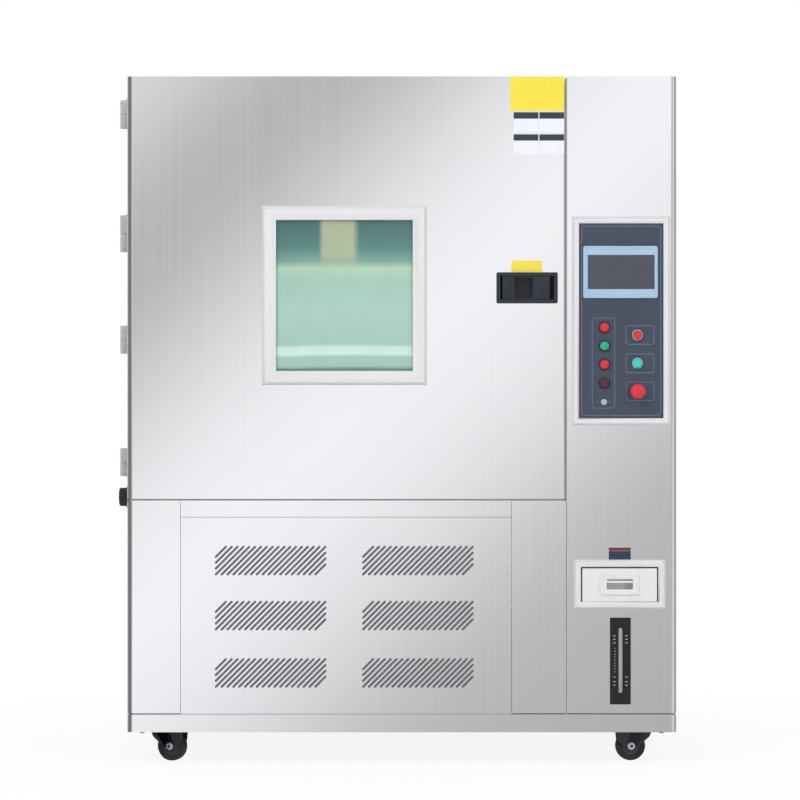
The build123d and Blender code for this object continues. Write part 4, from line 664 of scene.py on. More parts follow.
class CHAMBER_OT_panels(bpy.types.Operator):
    """Outer sheets, the grille's pressed lips and pads, gaskets and the rear screws"""

    bl_idname = "chamber.panels"
    bl_label = "Outer Panels"

    def execute(self, context):
        sizes, colours = context.scene.chamber_sizes, context.scene.chamber_colours
        coat_node(
            (
                "lower_surround", "left_side_panel", "right_side_panel", "rear_panels",
                "column_front",
            ),
            brushed("brushed_steel_upright", colours.steel),
        )
        coat_node(("grille_panel",), brushed("brushed_steel_grille", colours.steel))
        coat_node(("top_panel",), brushed("brushed_steel_roof", colours.steel, along="Y"))
        coat_node(("base_skirt",), brushed("brushed_steel_base", colours.steel, along="X"))
        lips = []
        diagonal = math.radians(45)
        along, aside = Vector((1, 0, 1)).normalized(), Vector((-1, 0, 1)).normalized()
        gap = (SLOT_WIDTH * MM) / 2 + sizes.lip_radius * 0.6
        for x, z, length in grille_slots():
            middle = place(x, 0.1, z)
            half = length * MM / 2 + sizes.lip_radius * 0.6
            short, narrow = half - CORNER_CUT * MM / 2, gap - CORNER_CUT * MM / 2
            for side in (-1, 1):
                for way, reach, turn, run in (
                    (aside, gap, diagonal, half), (along, half, -diagonal, gap),
                ):
                    stretch = (1, 1, 2 * (run - CORNER_CUT * MM))
                    lips.append((middle + way * side * reach, (0, turn, 0), stretch))
                for other in (-1, 1):
                    corner = middle + along * side * short + aside * other * narrow
                    turn = 0 if side == other else math.radians(90)
                    lips.append((corner, (0, turn, 0), (1, 1, CORNER_LENGTH * MM)))
        grow(
            "grille_lips", rod_tree(), lips,
            {"Radius": sizes.lip_radius, "Sides": 6, "Length": 1.0},
            FINISHES["brushed_steel_grille"], "cabinet",
        )
        bm = bmesh.new()
        for left, height in GRILLE_BANKS:
            low = place(left - PAD_OVERLAP, PAD_NEAR, height - PAD_TALL / 2)
            high = place(left + BANK_LENGTH + PAD_OVERLAP, PAD_FAR, height + PAD_TALL / 2)
            bar(bm, low, high, bevel=0.0006)
        finished(
            "filter_pads", bm,
            finish(
                "filter_grey", colours.filter_pad, roughness=0.9, grain=(700, 700, 700), shade=0.2,
                cloud_size=20, relief=0.3,
            ),
            "cabinet",
        )
        bm = bmesh.new()
        for low, high in GASKETS:
            bar(bm, place(*low), place(*high), bevel=0.0004)
        grey = rubber("gasket_grey", linear(176, 177, 179))
        finished("gap_gaskets", bm, grey, "cabinet")
        backwards = (math.radians(-90), 0, 0)
        heads = [
            (place(left, CABINET_DEPTH, height), backwards, (1, 1, 1))
            for columns, rows in REAR_SCREWS
            for left in columns
            for height in rows
        ]
        grow(
            "rear_screws", screw_tree(), heads,
            {"Head Radius": sizes.screw_radius, "Head Height": 0.0026}, zinc(), "cabinet",
        )
        return {"FINISHED"}


class CHAMBER_OT_door(bpy.types.Operator):
    """Door skin, lining, seal and core, the surround, the insulation and the latch parts"""

    bl_idname = "chamber.door"
    bl_label = "Door"

    def execute(self, context):
        colours = context.scene.chamber_colours
        coat_node(("door_outer_skin",), brushed("brushed_steel_door", colours.steel))
        coat_node(("door_inner_panel", "door_surround"), tank_steel(colours))
        coat_node(("door_seal",), rubber("seal_rubber", linear(150, 152, 150)))
        coat_node(
            ("door_core", "insulation_boards"),
            finish(
                "rigid_foam", linear(228, 214, 170), roughness=0.85, grain=(500, 500, 500),
                shade=0.18, cloud_size=30, relief=0.3,
            ),
        )
        coat_node(("latch_keeper", "latch_hook"), zinc())
        return {"FINISHED"}


def tank_steel(colours):
    """Satin stainless of the workspace."""
    return brushed("satin_stainless", colours.tank, roughness=0.25)


def white_trim(colours):
    """White enamel of the bevelled frames."""
    return painted("white_trim_enamel", colours.trim, roughness=0.3, peel=0.025)


WINDOW_LEFT, WINDOW_HEIGHT = 554, 1192
OUTER_PANE = (347.4, 383.4, 1)
INNER_PANE = (353.6, 389.6, 1)
SPACER_WIDTH = 10
# Pane colour by height: mint tint, a pale strip with a dark line under it as painted reflection and
# painted shade, and painted shade darkening the top
PANE_TINT_AND_PAINTED_LIGHT = (
    (0.99, linear(150, 186, 176)), (1.004, linear(96, 138, 134)), (1.012, linear(172, 202, 192)),
    (1.036, linear(180, 208, 197)), (1.042, linear(226, 240, 232)), (1.06, linear(222, 238, 230)),
    (1.067, linear(178, 208, 196)), (1.16, linear(184, 212, 200)), (1.23, linear(176, 208, 194)),
    (1.262, linear(196, 216, 194)), (1.28, linear(136, 172, 160)), (1.315, linear(92, 136, 134)),
    (1.40, linear(66, 104, 106)),
)
# Upright pale band across the pane's upper part, a painted reflection
PANE_PAINTED_REFLECTION_BAND = ((0.488, (0, 0, 0)), (0.5, (1, 1, 1)), (0.574, (1, 1, 1)), (0.592, (0, 0, 0)))
PAINTED_REFLECTION_HEIGHT = ((1.25, (0, 0, 0)), (1.3, (0.8, 0.8, 0.8)))


def glass_with_painted_light(colours):
    """Mint pane below with a painted reflection as a pale strip, painted shade making it darker
    above, and a pale upright band that is a painted reflection.
    """
    material = finish(
        "glass_with_painted_light", colours.glass, metallic=0.1, roughness=0.06, grain=(30, 30, 12),
        shade=0.03, cloud_size=5, uneven=0.02, relief=0.003, see_through=0.9, coat=0.4,
    )
    tree = material.node_tree
    shader = tree.nodes["Principled BSDF"]
    grained = shader.inputs["Base Color"].links[0].from_socket
    where = add_node(tree, "ShaderNodeTexCoord").outputs["Object"]
    split = add_node(tree, "ShaderNodeSeparateXYZ", {0: where})
    wave = spread(tree, noise(tree, where, 7.0, 1.0), -0.0015, 0.0015)
    height = reckoned(tree, "ADD", split.outputs["Z"], wave)
    left = reckoned(tree, "ADD", split.outputs["X"], -CORNER.x)
    upright, above = banded(tree, left, PANE_PAINTED_REFLECTION_BAND), banded(tree, height, PAINTED_REFLECTION_HEIGHT)
    # Painted reflection and painted shade mixed into the pane's base colour
    pale = blended(
        tree, reckoned(tree, "MULTIPLY", upright, above), banded(tree, height, PANE_TINT_AND_PAINTED_LIGHT),
        (*linear(204, 200, 168), 1),
    )
    give(tree, shader, {"Base Color": blended(tree, 1.0, grained, pale, blend_type="MULTIPLY")})
    return material


class CHAMBER_OT_window(bpy.types.Operator):
    """Window frame, mint outer pane with painted reflections and painted shade, inner panes and the
    dark spacers between them
    """

    bl_idname = "chamber.window"
    bl_label = "Window"

    def execute(self, context):
        sizes, colours = context.scene.chamber_sizes, context.scene.chamber_colours
        bevelled_copy(
            "window_frame", "window_trim", white_trim(colours), sizes.edge_bevel
        )
        middle = (WINDOW_LEFT, WINDOW_HEIGHT)
        clear = finish(
            "clear_glass", linear(210, 232, 224), roughness=0.04, grain=(2, 2, 2), shade=0.04,
            cloud_size=2, uneven=0.015, relief=0.005, see_through=0.16, index=1.5,
        )
        dark = moulded("spacer_black", linear(38, 44, 50), roughness=0.5)
        for name, material, panes in (
            ("window_outer_pane", glass_with_painted_light(colours), ((OUTER_PANE, -10, -4),)),
            ("window_inner_panes", clear, ((INNER_PANE, -23, -18.2), (INNER_PANE, -115, -109))),
        ):
            bm = bmesh.new()
            for pane, back, front in panes:
                plate(bm, *middle, *pane, back, front, edge=0.5)
            finished(name, bm, material, "door", ("window_glass",))
        bm = bmesh.new()
        for pane, back, front in ((OUTER_PANE, -17.8, -10.2), (INNER_PANE, -108.8, -23.2)):
            hole = (pane[0] - 2 * SPACER_WIDTH, pane[1] - 2 * SPACER_WIDTH, pane[2])
            frame_plate(bm, *middle, pane, hole, back, front)
        finished("window_spacers", bm, dark, "door", ("window_glass",))
        return {"FINISHED"}


class CHAMBER_OT_latch(bpy.types.Operator):
    """Flush latch handle: housing and paddle"""

    bl_idname = "chamber.latch"
    bl_label = "Latch Handle"

    def execute(self, context):
        sizes, colours = context.scene.chamber_sizes, context.scene.chamber_colours
        black = moulded("latch_black", colours.black, roughness=0.36)
        bevelled_copy("handle_housing", "latch_housing", black, sizes.edge_bevel)
        bevelled_copy(
            "handle_paddle", "latch_paddle", moulded("paddle_black", colours.black, roughness=0.32),
            sizes.edge_bevel * 0.8,
        )
        return {"FINISHED"}


HINGES = ((766, 72), (1081, 72), (1354, 94), (1661, 72))
HINGE_PIN_DEPTH = 94
LEAF_START = 12
LEAF_FACE = 5
SCREW_REACH = 28
SCREW_SHIFT = 9
SCREW_SHARE = 0.3


class CHAMBER_OT_hinges(bpy.types.Operator):
    """Hinge leaves with softened edges and their screws"""

    bl_idname = "chamber.hinges"
    bl_label = "Hinges"

    def execute(self, context):
        sizes = context.scene.chamber_sizes
        metal = painted("hinge_enamel", linear(178, 179, 184), roughness=0.32, peel=0.02)
        for node, name in (
            ("hinge_body_leaves", "hinge_fixed_leaves"), ("hinge_door_leaves", "hinge_door_side"),
        ):
            bevelled_copy(node, name, metal, sizes.edge_bevel)
        sideways = (0, math.radians(-90), 0)
        for name, body, way in (
            ("hinge_screws_fixed", "cabinet", 1), ("hinge_screws_door", "door", -1),
        ):
            depth = HINGE_PIN_DEPTH + way * (LEAF_START + SCREW_REACH)
            heads = [
                (
                    place(-LEAF_FACE, depth + shift, middle + step * height * SCREW_SHARE),
                    sideways, (1, 1, 1),
                )
                for middle, height in HINGES
                for step in (-1, 1)
                for shift in (-SCREW_SHIFT, SCREW_SHIFT)
            ]
            grow(
                name, screw_tree(), heads, {"Head Radius": 0.0042, "Head Height": 0.0024}, zinc(),
                body,
            )
        return {"FINISHED"}


PANEL_RISE = 3
LINE_BACK, LINE_FRONT = 2.9, 3.25
KEY_PLACE = (1214.5, 920.6)
# The first outline, round the panel's edge, is a painted highlight in the lighter line colour; the
# others are printed outlines
PANEL_OUTLINES = (
    (1157, 1360, 886, 1369, 9), (1184, 1243, 904.5, 1135.5, 9), (1270, 1343, 1067, 1116, 7),
    (1270, 1343, 994.5, 1044, 7), (1270, 1343, 924, 972.5, 7),
)


class CHAMBER_OT_control_panel(bpy.types.Operator):
    """Control frame, dark panel and its raised outlines: printed outlines round the lamps and
    buttons, and a lighter ring round the panel's edge that is a painted highlight
    """

    bl_idname = "chamber.control_panel"
    bl_label = "Control Panel"

    def execute(self, context):
        sizes, colours = context.scene.chamber_sizes, context.scene.chamber_colours
        bevelled_copy(
            "control_frame", "control_trim", white_trim(colours), sizes.edge_bevel
        )
        coat_node(
            ("control_panel",),
            finish(
                "panel_film", colours.panel, roughness=0.36, grain=(900, 900, 900), shade=0.07,
                cloud_size=2.4, uneven=0.05, relief=0.04,
            ),
        )
        line = sizes.line_width / MM
        bm = bmesh.new()
        for left, right, low, high, radius in PANEL_OUTLINES:
            width, tall = right - left, high - low
            frame_plate(
                bm, (left + right) / 2, (low + high) / 2, (width, tall, radius),
                (width - 2 * line, tall - 2 * line, radius - line), LINE_BACK, LINE_FRONT, edge=0.1,
            )
        left, height = KEY_PLACE
        for shift in (-18, 15):
            plate(bm, left + shift, height, 5, 2, 0.6, LINE_BACK, LINE_FRONT, edge=0.1)
        # One lighter colour for the printed outlines and for the painted highlight round the
        # panel's edge
        finished(
            "panel_outlines", bm, moulded("panel_print_and_painted_highlight", colours.panel_line, roughness=0.4),
            "cabinet",
        )
        return {"FINISHED"}


SCREEN_LEFT, SCREEN_HEIGHT = 1256.5, 1251.5
SCREEN_SHIFT = 1.5


class CHAMBER_OT_touch_screen(bpy.types.Operator):
    """Touch screen bezel with its inner step, and the dark screen"""

    bl_idname = "chamber.touch_screen"
    bl_label = "Touch Screen"

    def execute(self, context):
        colours = context.scene.chamber_colours
        bm = bmesh.new()
        outer = (
            (190, 133, 6, 3.0), (190, 133, 6, 7.2), (187.4, 130.4, 5.2, 9.0), (176, 119, 3.5, 9.0),
            (174.4, 117.4, 3, 8.2),
        )
        inner = ((170.2, 87.6, 1.2, 8.2), (169.6, 86.8, 1.0, 7.4), (169.6, 86.8, 1.0, 5.2))
        middle = SCREEN_LEFT + SCREEN_SHIFT
        loft(
            bm,
            [front_ring(SCREEN_LEFT, SCREEN_HEIGHT, *ring) for ring in outer]
            + [front_ring(middle, SCREEN_HEIGHT, *ring) for ring in inner],
        )
        finished(
            "screen_bezel", bm, moulded("bezel_blue", colours.bezel, roughness=0.34), "cabinet",
            ("hmi_bezel",), angle=25,
        )
        bm = bmesh.new()
        plate(bm, middle, SCREEN_HEIGHT, 169.2, 86.2, 0.8, 5.3, 7.3, edge=0.3)
        dark = finish(
            "screen_glass", colours.screen, roughness=0.2, grain=(40, 40, 40), shade=0.1,
            cloud_size=7, uneven=0.04, relief=0.01, coat=0.6,
        )
        finished("screen_pane", bm, dark, "cabinet", ("hmi_screen",))
        return {"FINISHED"}


LAMP_LEFT = 1216
LAMP_HEIGHTS = (1110.8, 1063.7, 1016.6)
BUZZER_HEIGHT = 969


def on_panel(left, height):
    """Point on the front of the control panel."""
    return place(left, -PANEL_RISE, height)


class CHAMBER_OT_lamps(bpy.types.Operator):
    """Lamp lenses, their rings and the buzzer"""

    bl_idname = "chamber.lamps"
    bl_label = "Lamps"

    def execute(self, context):
        colours = context.scene.chamber_colours
        dome = [
            (0, 8.0), (3, 7.9), (6, 7.5), (9, 6.6), (10.6, 5.6), (11.3, 4.6), (11.5, 3.4),
            (11.5, 0.2), (0, 0.2),
        ]
        for name, height, colour, tint in (
            ("lamp_upper", LAMP_HEIGHTS[0], colours.red, "lens_red"),
            ("lamp_middle", LAMP_HEIGHTS[1], colours.green, "lens_green"),
            ("lamp_lower", LAMP_HEIGHTS[2], colours.red, "lens_red"),
        ):
            lens = finish(
                tint, colour, roughness=0.16, grain=(700, 700, 700), shade=0.12, cloud_size=60,
                uneven=0.04, relief=0.05, coat=0.5,
            )
            turned(
                name, [on_panel(LAMP_LEFT, height)], FORWARD, dome, lens, "cabinet", "lamp_plastic",
                ("lamp_lenses",),
            )
        ring = [(11.7, 0), (11.7, 3.4), (12.2, 4.0), (13.4, 3.9), (14.5, 3.0), (15, 1.6), (15, 0)]
        centres = [on_panel(LAMP_LEFT, height) for height in (*LAMP_HEIGHTS, BUZZER_HEIGHT)]
        turned(
            "lamp_rings", centres, FORWARD, ring,
            moulded("ring_black", linear(52, 50, 58), roughness=0.3), "cabinet", "black_plastic",
            ("lamp_bezels",), loop=True,
        )
        cap = [
            (0, 7.2), (2.2, 7.2), (2.6, 6.4), (4.0, 6.4), (4.4, 7.4), (6.2, 7.4), (6.6, 6.6),
            (8.0, 6.6), (8.4, 7.5), (10.4, 7.2), (11.3, 6.2), (11.5, 5.0), (11.5, 0.2), (0, 0.2),
        ]
        turned(
            "buzzer_cap", [on_panel(LAMP_LEFT, BUZZER_HEIGHT)], FORWARD, cap,
            moulded("buzzer_maroon", colours.maroon, roughness=0.4), "cabinet", "black_plastic",
            ("lamp_bezels",),
        )
        return {"FINISHED"}


BUTTON_LEFT = 1299.4
BUTTON_HEIGHTS = (1091.5, 1019.6)
BUTTON_SEAT = 4.3
STOP_HEIGHT = 948
STOP_SEAT = 20


class CHAMBER_OT_buttons(bpy.types.Operator):
    """Push buttons with silver rings, the stop button and the key switch"""

    bl_idname = "chamber.buttons"
    bl_label = "Buttons"

    def execute(self, context):
        colours = context.scene.chamber_colours
        silver = polished("button_silver", (0.8, 0.8, 0.8))
        ring = [
            (11.35, 0.4), (11.35, 6.4), (11.9, 7.0), (12.8, 6.9), (14.2, 5.4), (14.5, 3.6),
            (14.5, 0), (11.8, 0),
        ]
        turned(
            "button_rings", [on_panel(BUTTON_LEFT, height) for height in BUTTON_HEIGHTS], FORWARD,
            ring, silver, "cabinet", "bright_metal", ("button_bezels",), loop=True,
        )
        cap = [
            (0, 5.0), (4, 5.05), (8, 5.3), (9.6, 5.9), (10.4, 5.7), (10.9, 5.0), (10.95, 0), (0, 0),
        ]
        for name, height, colour, slot, node in (
            ("power_button", BUTTON_HEIGHTS[0], colours.red, "button_red", "button_power"),
            ("start_button", BUTTON_HEIGHTS[1], colours.cyan, "button_cyan", "button_start"),
        ):
            body = NODES[node]["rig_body"]
            seat = on_panel(BUTTON_LEFT, height) + FORWARD * BUTTON_SEAT * MM
            plastic = moulded(name + "_plastic", colour, 0.28, 0.4)
            turned(name, [seat], FORWARD, cap, plastic, body, slot, (node,))
        collar = [
            (9.4, 2), (9.4, 13.4), (10.0, 14), (12.2, 13.8), (13.2, 12.6), (13.6, 5.4), (14.4, 3.6),
            (14.5, 0), (9.8, 0),
        ]
        stop = on_panel(BUTTON_LEFT, STOP_HEIGHT)
        turned(
            "stop_collar", [stop], FORWARD, collar,
            moulded("collar_black", linear(60, 58, 62), roughness=0.35), "cabinet", "black_plastic",
            ("button_bezels",), loop=True,
        )
        head = [
            (0, 14.0), (6, 13.8), (11, 13.0), (15, 11.3), (18, 8.4), (19.3, 5.4), (19.5, 3.4),
            (19.2, 1.8), (18.2, 0.7), (16, 0.2), (9, 0.0), (8.9, -13.0), (0, -13.0),
        ]
        turned(
            "stop_button", [stop + FORWARD * STOP_SEAT * MM], FORWARD, head,
            moulded("stop_red", colours.red, 0.3, 0.4), "stop_head", "button_red", ("estop_head",),
            segments=64,
        )
        key = on_panel(*KEY_PLACE)
        turned(
            "key_ring", [key], FORWARD,
            [(6.6, 0), (6.6, 3.6), (7.0, 4.0), (7.9, 3.6), (8.5, 2.4), (8.5, 0)], silver, "cabinet",
            "bright_metal", ("button_bezels",), loop=True,
        )
        bm = bmesh.new()
        barrel = [(0, 6.9), (5.2, 6.9), (6.2, 6.4), (6.5, 5.6), (6.5, 0.2), (0, 0.2)]
        lathe(bm, key, FORWARD, barrel)
        bar(
            bm, key + Vector((-1.7, -12.0, -5.4)) * MM, key + Vector((1.7, -6.5, 5.4)) * MM,
            bevel=0.0006,
        )
        finished("key_barrel", bm, zinc(), "key", ("key_switch",))
        return {"FINISHED"}


DRAWER_LEFT = 1254.5
DRAWER_HEIGHT = 457
TRAY_WALLS = (
    (1159.5, 1349.5, 0.1, 205, 413.3, 415.3), (1159.5, 1161.5, 0.1, 205, 415.3, 497.5),
    (1347.5, 1349.5, 0.1, 205, 415.3, 497.5), (1161.5, 1347.5, 203, 205, 415.3, 497.5),
)


class CHAMBER_OT_drawer(bpy.types.Operator):
    """Drawer frame, drawer, and its handle plate with the grip bar"""

    bl_idname = "chamber.drawer"
    bl_label = "Drawer"

    def execute(self, context):
        sizes, colours = context.scene.chamber_sizes, context.scene.chamber_colours
        bevelled_copy(
            "drawer_frame", "drawer_trim", white_trim(colours), sizes.edge_bevel
        )
        white = moulded("drawer_white", colours.white, roughness=0.34)
        bm = bmesh.new()
        middle = DRAWER_HEIGHT - 1.6
        front, recess, shell = (190, 84.2, 2), (75, 34, 1), (79, 38, 2)
        panel = (
            (middle, front, 0), (middle, front, 5.2), (middle, (188.4, 82.6, 1.4), 6),
            (DRAWER_HEIGHT, (75.6, 34.6, 1.4), 6), (DRAWER_HEIGHT, recess, 5.6),
            (DRAWER_HEIGHT, recess, 0),
        )
        cup = (
            (DRAWER_HEIGHT, recess, -20), (DRAWER_HEIGHT, recess, -0.1),
            (DRAWER_HEIGHT, shell, -0.1), (DRAWER_HEIGHT, shell, -22),
        )
        for rings, loop in ((panel, True), (cup, False)):
            rows = [front_ring(DRAWER_LEFT, height, *ring, rise) for height, ring, rise in rings]
            loft(bm, rows, loop=loop)
        for left, right, near, far, low, high in TRAY_WALLS:
            bar(bm, place(left, near, low), place(right, far, high), bevel=0.0005)
        finished("drawer_tray", bm, white, "drawer", ("drawer_box",))
        bm = bmesh.new()
        pull = (
            (100, 55, 4, 6), (100, 55, 4, 7.4), (97, 52, 3.4, 9.7), (91, 46, 3, 9.9),
            (88, 43, 3, 8.6), (70, 29, 4, 8.6), (67, 26, 4, 7.6), (67, 26, 4, 6),
        )
        loft(bm, [front_ring(DRAWER_LEFT, DRAWER_HEIGHT, *ring) for ring in pull], loop=True)
        finished("drawer_pull_plate", bm, white, "drawer", ("drawer_handle",))
        turned(
            "drawer_grip_bar", [place(DRAWER_LEFT - 34.5, -7, DRAWER_HEIGHT + 6)],
            Vector((1, 0, 0)), [(0, 0), (2.6, 0), (3.0, 1.0), (3.0, 68.0), (2.6, 69.0), (0, 69.0)],
            moulded("grip_white", colours.white, roughness=0.25, coat=0.3), "drawer",
            "white_plastic", ("drawer_handle",), segments=24,
        )
        return {"FINISHED"}


GAUGE_LEFT = 1256.5
GAUGE_HEIGHT = 261.5
TUBE_HEIGHT = 263
FLOAT_HEIGHT = 188
MARK_RISE = 3.1
LONG_MARKS = (326, 317, 308, 221, 209, 200)
SHORT_MARKS = [234 + 7.5 * step for step in range(9)]


class CHAMBER_OT_gauge(bpy.types.Operator):
    """Level gauge: plate, clear tube, float and marks"""

    bl_idname = "chamber.gauge"
    bl_label = "Level Gauge"

    def execute(self, context):
        bm = bmesh.new()
        plate(bm, GAUGE_LEFT, GAUGE_HEIGHT, 53, 221, 2, 0.02, 3.0, edge=0.6)
        black = painted("gauge_black", linear(17, 18, 22), roughness=0.34, peel=0.02)
        finished("gauge_backplate", bm, black, "cabinet", ("gauge_plate",))
        bm = bmesh.new()
        rings = ((10, 166, 3.02), (10, 166, 5.4), (8.6, 164.4, 7.6), (5, 161, 8.8))
        loft(bm, [front_ring(GAUGE_LEFT, TUBE_HEIGHT, w, t, w / 2, rise) for w, t, rise in rings])
        tube = finish(
            "gauge_acrylic", linear(196, 202, 206), roughness=0.08, grain=(60, 60, 20), shade=0.08,
            cloud_size=20, uneven=0.03, relief=0.02, coat=0.5, see_through=0.5, index=1.49,
        )
        finished("gauge_window", bm, tube, "cabinet", ("gauge_tube",))
        turned(
            "gauge_float", [place(GAUGE_LEFT, -5.6, FLOAT_HEIGHT)], UPWARD,
            [(0, 0), (1.9, 0.3), (2.2, 1.2), (2.2, 19), (1.9, 20), (0, 20.4)],
            moulded("float_red", linear(120, 50, 46), roughness=0.3), "cabinet", "lamp_plastic",
            segments=20,
        )
        marks = [
            (place(GAUGE_LEFT + shift, -MARK_RISE, height), (0, 0, 0), (1, 1, 1))
            for height in LONG_MARKS
            for shift in (-15.5, 15.5)
        ]
        for height in SHORT_MARKS:
            marks.append((place(GAUGE_LEFT - 14, -MARK_RISE, height), (0, 0, 0), (0.5, 1, 0.8)))
        grow(
            "gauge_marks", bar_tree(), marks, {"Width": 0.006, "Depth": 0.0004, "Height": 0.0017},
            moulded("mark_white", linear(186, 190, 196), roughness=0.5), "cabinet",
        )
        return {"FINISHED"}


WHEEL_HEIGHT = 38
TRAIL = 28
LEG_FACE = 17.4
CASTERS = {
    "fl": (85, 85, -22), "fr": (1315, 85, 187), "rl": (85, 1015, 35), "rr": (1315, 1015, 150),
}
WASHER = [(9.6, 0), (9.6, 0.7), (9.0, 1.0), (0, 1.0)]
BOLT_HEAD = [(8.3, 0.8), (8.3, 4.4), (7.3, 5.3), (4.4, 5.6), (3.8, 4.9), (0, 4.9)]
TREAD = [
    (26.5, -13), (33.5, -13), (36.4, -11.8), (37.6, -9.2), (38, -5), (38, 5), (37.6, 9.2),
    (36.4, 11.8), (33.5, 13), (26.5, 13), (26.2, 8), (26.2, -8),
]
HUB = [
    (5.1, -13), (11, -13), (12, -12.2), (12.4, -8.8), (15, -8), (23.5, -8), (25, -9.4),
    (26.4, -11.6), (26.4, 11.6), (25, 9.4), (23.5, 8), (15, 8), (12.4, 8.8), (12, 12.2), (11, 13),
    (5.1, 13),
]


def hood_outline(inset):
    """Side view of a caster's hood, as (distance along the trail, height), set in a little."""
    points = [(-29 + inset, 85 - inset), (61 - inset, 85 - inset), (63.5 - inset, 70)]
    for radius, turns in ((36 - inset, (22,)), (15 - inset, range(-40, -161, -20))):
        for turn in turns:
            angle = math.radians(turn)
            points.append(
                (TRAIL + radius * math.cos(angle), WHEEL_HEIGHT + radius * math.sin(angle))
            )
    points.append((-20 + inset, 62))
    return points


class CHAMBER_OT_casters(bpy.types.Operator):
    """Caster plates, forks, hoods, axle bolts, hubs and tyres"""

    bl_idname = "chamber.casters"
    bl_label = "Casters"

    def execute(self, context):
        sizes = context.scene.chamber_sizes
        coat_node(("caster_plates",), zinc())
        coat_node(("base_frame",), painted("frame_grey", linear(96, 98, 104)))
        fork_paint = painted("fork_black", linear(46, 49, 58), roughness=0.34)
        tyre = rubber("tyre_black", linear(40, 42, 48))
        hub_plastic = moulded("hub_grey", linear(70, 72, 80), roughness=0.45)
        for corner, (left, depth, turn) in CASTERS.items():
            angle = math.radians(turn)
            trail = Vector((math.cos(angle), math.sin(angle), 0))
            side = Vector((math.sin(angle), -math.cos(angle), 0))
            centre = place(left, depth, WHEEL_HEIGHT) + trail * TRAIL * MM
            bevelled_copy(
                "caster_fork_" + corner, "fork_" + corner + "_shell", fork_paint,
                sizes.edge_bevel * 0.7,
            )
            bm = bmesh.new()
            for way in (-1, 1):
                loft(
                    bm,
                    [
                        [
                            place(left, depth, height) + trail * run * MM
                            + side * way * offset * MM
                            for run, height in hood_outline(inset)
                        ]
                        for offset, inset in ((14.6, 0.6), (15.2, 0), (16.9, 0), (17.5, 0.6))
                    ],
                )
            finished("hood_" + corner, bm, fork_paint, "fork_" + corner, angle=30)
            bm = bmesh.new()
            for way in (-1, 1):
                start = centre + side * way * LEG_FACE * MM
                lathe(bm, start, side * way, WASHER, segments=24)
                lathe(bm, start, side * way, BOLT_HEAD, segments=6 if way > 0 else 12)
            finished("axle_bolt_" + corner, bm, zinc(), "fork_" + corner, angle=20)
            for name, profile, material, segments in (
                ("tyre_", TREAD, tyre, 64), ("hub_", HUB, hub_plastic, 48),
            ):
                turned(
                    name + corner, [centre], side, profile, material, "wheel_" + corner,
                    "caster_tyre", ("caster_wheel_" + corner,), segments=segments, loop=True,
                )
        return {"FINISHED"}


PORT_DEPTH, PORT_HEIGHT = 172, 674
PLUG_DISC = 31.2
GLAND_PLACE = (1250, CABINET_DEPTH, 230)


class CHAMBER_OT_fittings(bpy.types.Operator):
    """Rubber port plug on the left side and cable gland at the rear"""

    bl_idname = "chamber.fittings"
    bl_label = "Port and Gland"

    def execute(self, context):
        outward = Vector((-1, 0, 0))
        port = place(0, PORT_DEPTH, PORT_HEIGHT)
        turned(
            "port_plug", [port], outward,
            [
                (0, 31.5), (9, 31.5), (10, 33.2), (19, 34), (22.4, 33), (23.8, 30.5), (24, 17),
                (25, 14.6), (29.6, 14), (31.6, 12.8), (32.5, 10.4), (32.5, 0), (22, 0), (22, -14),
                (0, -14),
            ],
            rubber("plug_black", linear(40, 41, 45)), "cabinet", "black_rubber",
            ("port_fittings",), segments=64,
        )
        turned(
            "port_plug_centre", [place(-PLUG_DISC, PORT_DEPTH, PORT_HEIGHT)], outward,
            [(0, 1.6), (6.5, 1.4), (8, 0.6), (8.4, 0), (0, -0.2)], zinc(), "cabinet", "zinc_steel",
            segments=32,
        )
        bm = bmesh.new()
        rear = place(*GLAND_PLACE)
        back = Vector((0, 1, 0))
        lathe(
            bm, rear, back,
            [(0, -6), (12.5, -6), (12.5, 0), (15.8, 0), (15.8, 6.6), (14.6, 7.4), (0, 7.4)],
            segments=6,
        )
        nut = [(0, 7), (12.6, 7), (12.8, 13.6), (11.6, 14.4), (0, 14.4)]
        lathe(bm, rear, back, nut, segments=12)
        lathe(
            bm, rear, back,
            [(9.8, 14), (9.4, 21.5), (8.2, 23.6), (5.4, 24), (4.4, 23.2), (4.4, 12), (9.8, 12)],
            segments=32, loop=True,
        )
        finished(
            "cable_gland", bm, moulded("gland_black", linear(36, 37, 40), roughness=0.5), "cabinet",
            ("port_fittings",), angle=25,
        )
        return {"FINISHED"}


TANK_MIDDLE = 557.5
SHELF_HEIGHTS = (1020, 1330)
SHELF_MIDDLE = 400
SHELF_RODS = 18
ROD_PITCH = 40
ROD_LENGTH = 0.526
FIN_BLOCKS = (
    ("condenser_fins_front", 182, 578, 74.6, 162, 470),
    ("condenser_fins_back", 182, 578, 125.4, 162, 470),
    ("evaporator_fins", 280, 835, 777.8, 909, 1125),
)
COMPRESSOR_PLACE = (820, 620, 152)


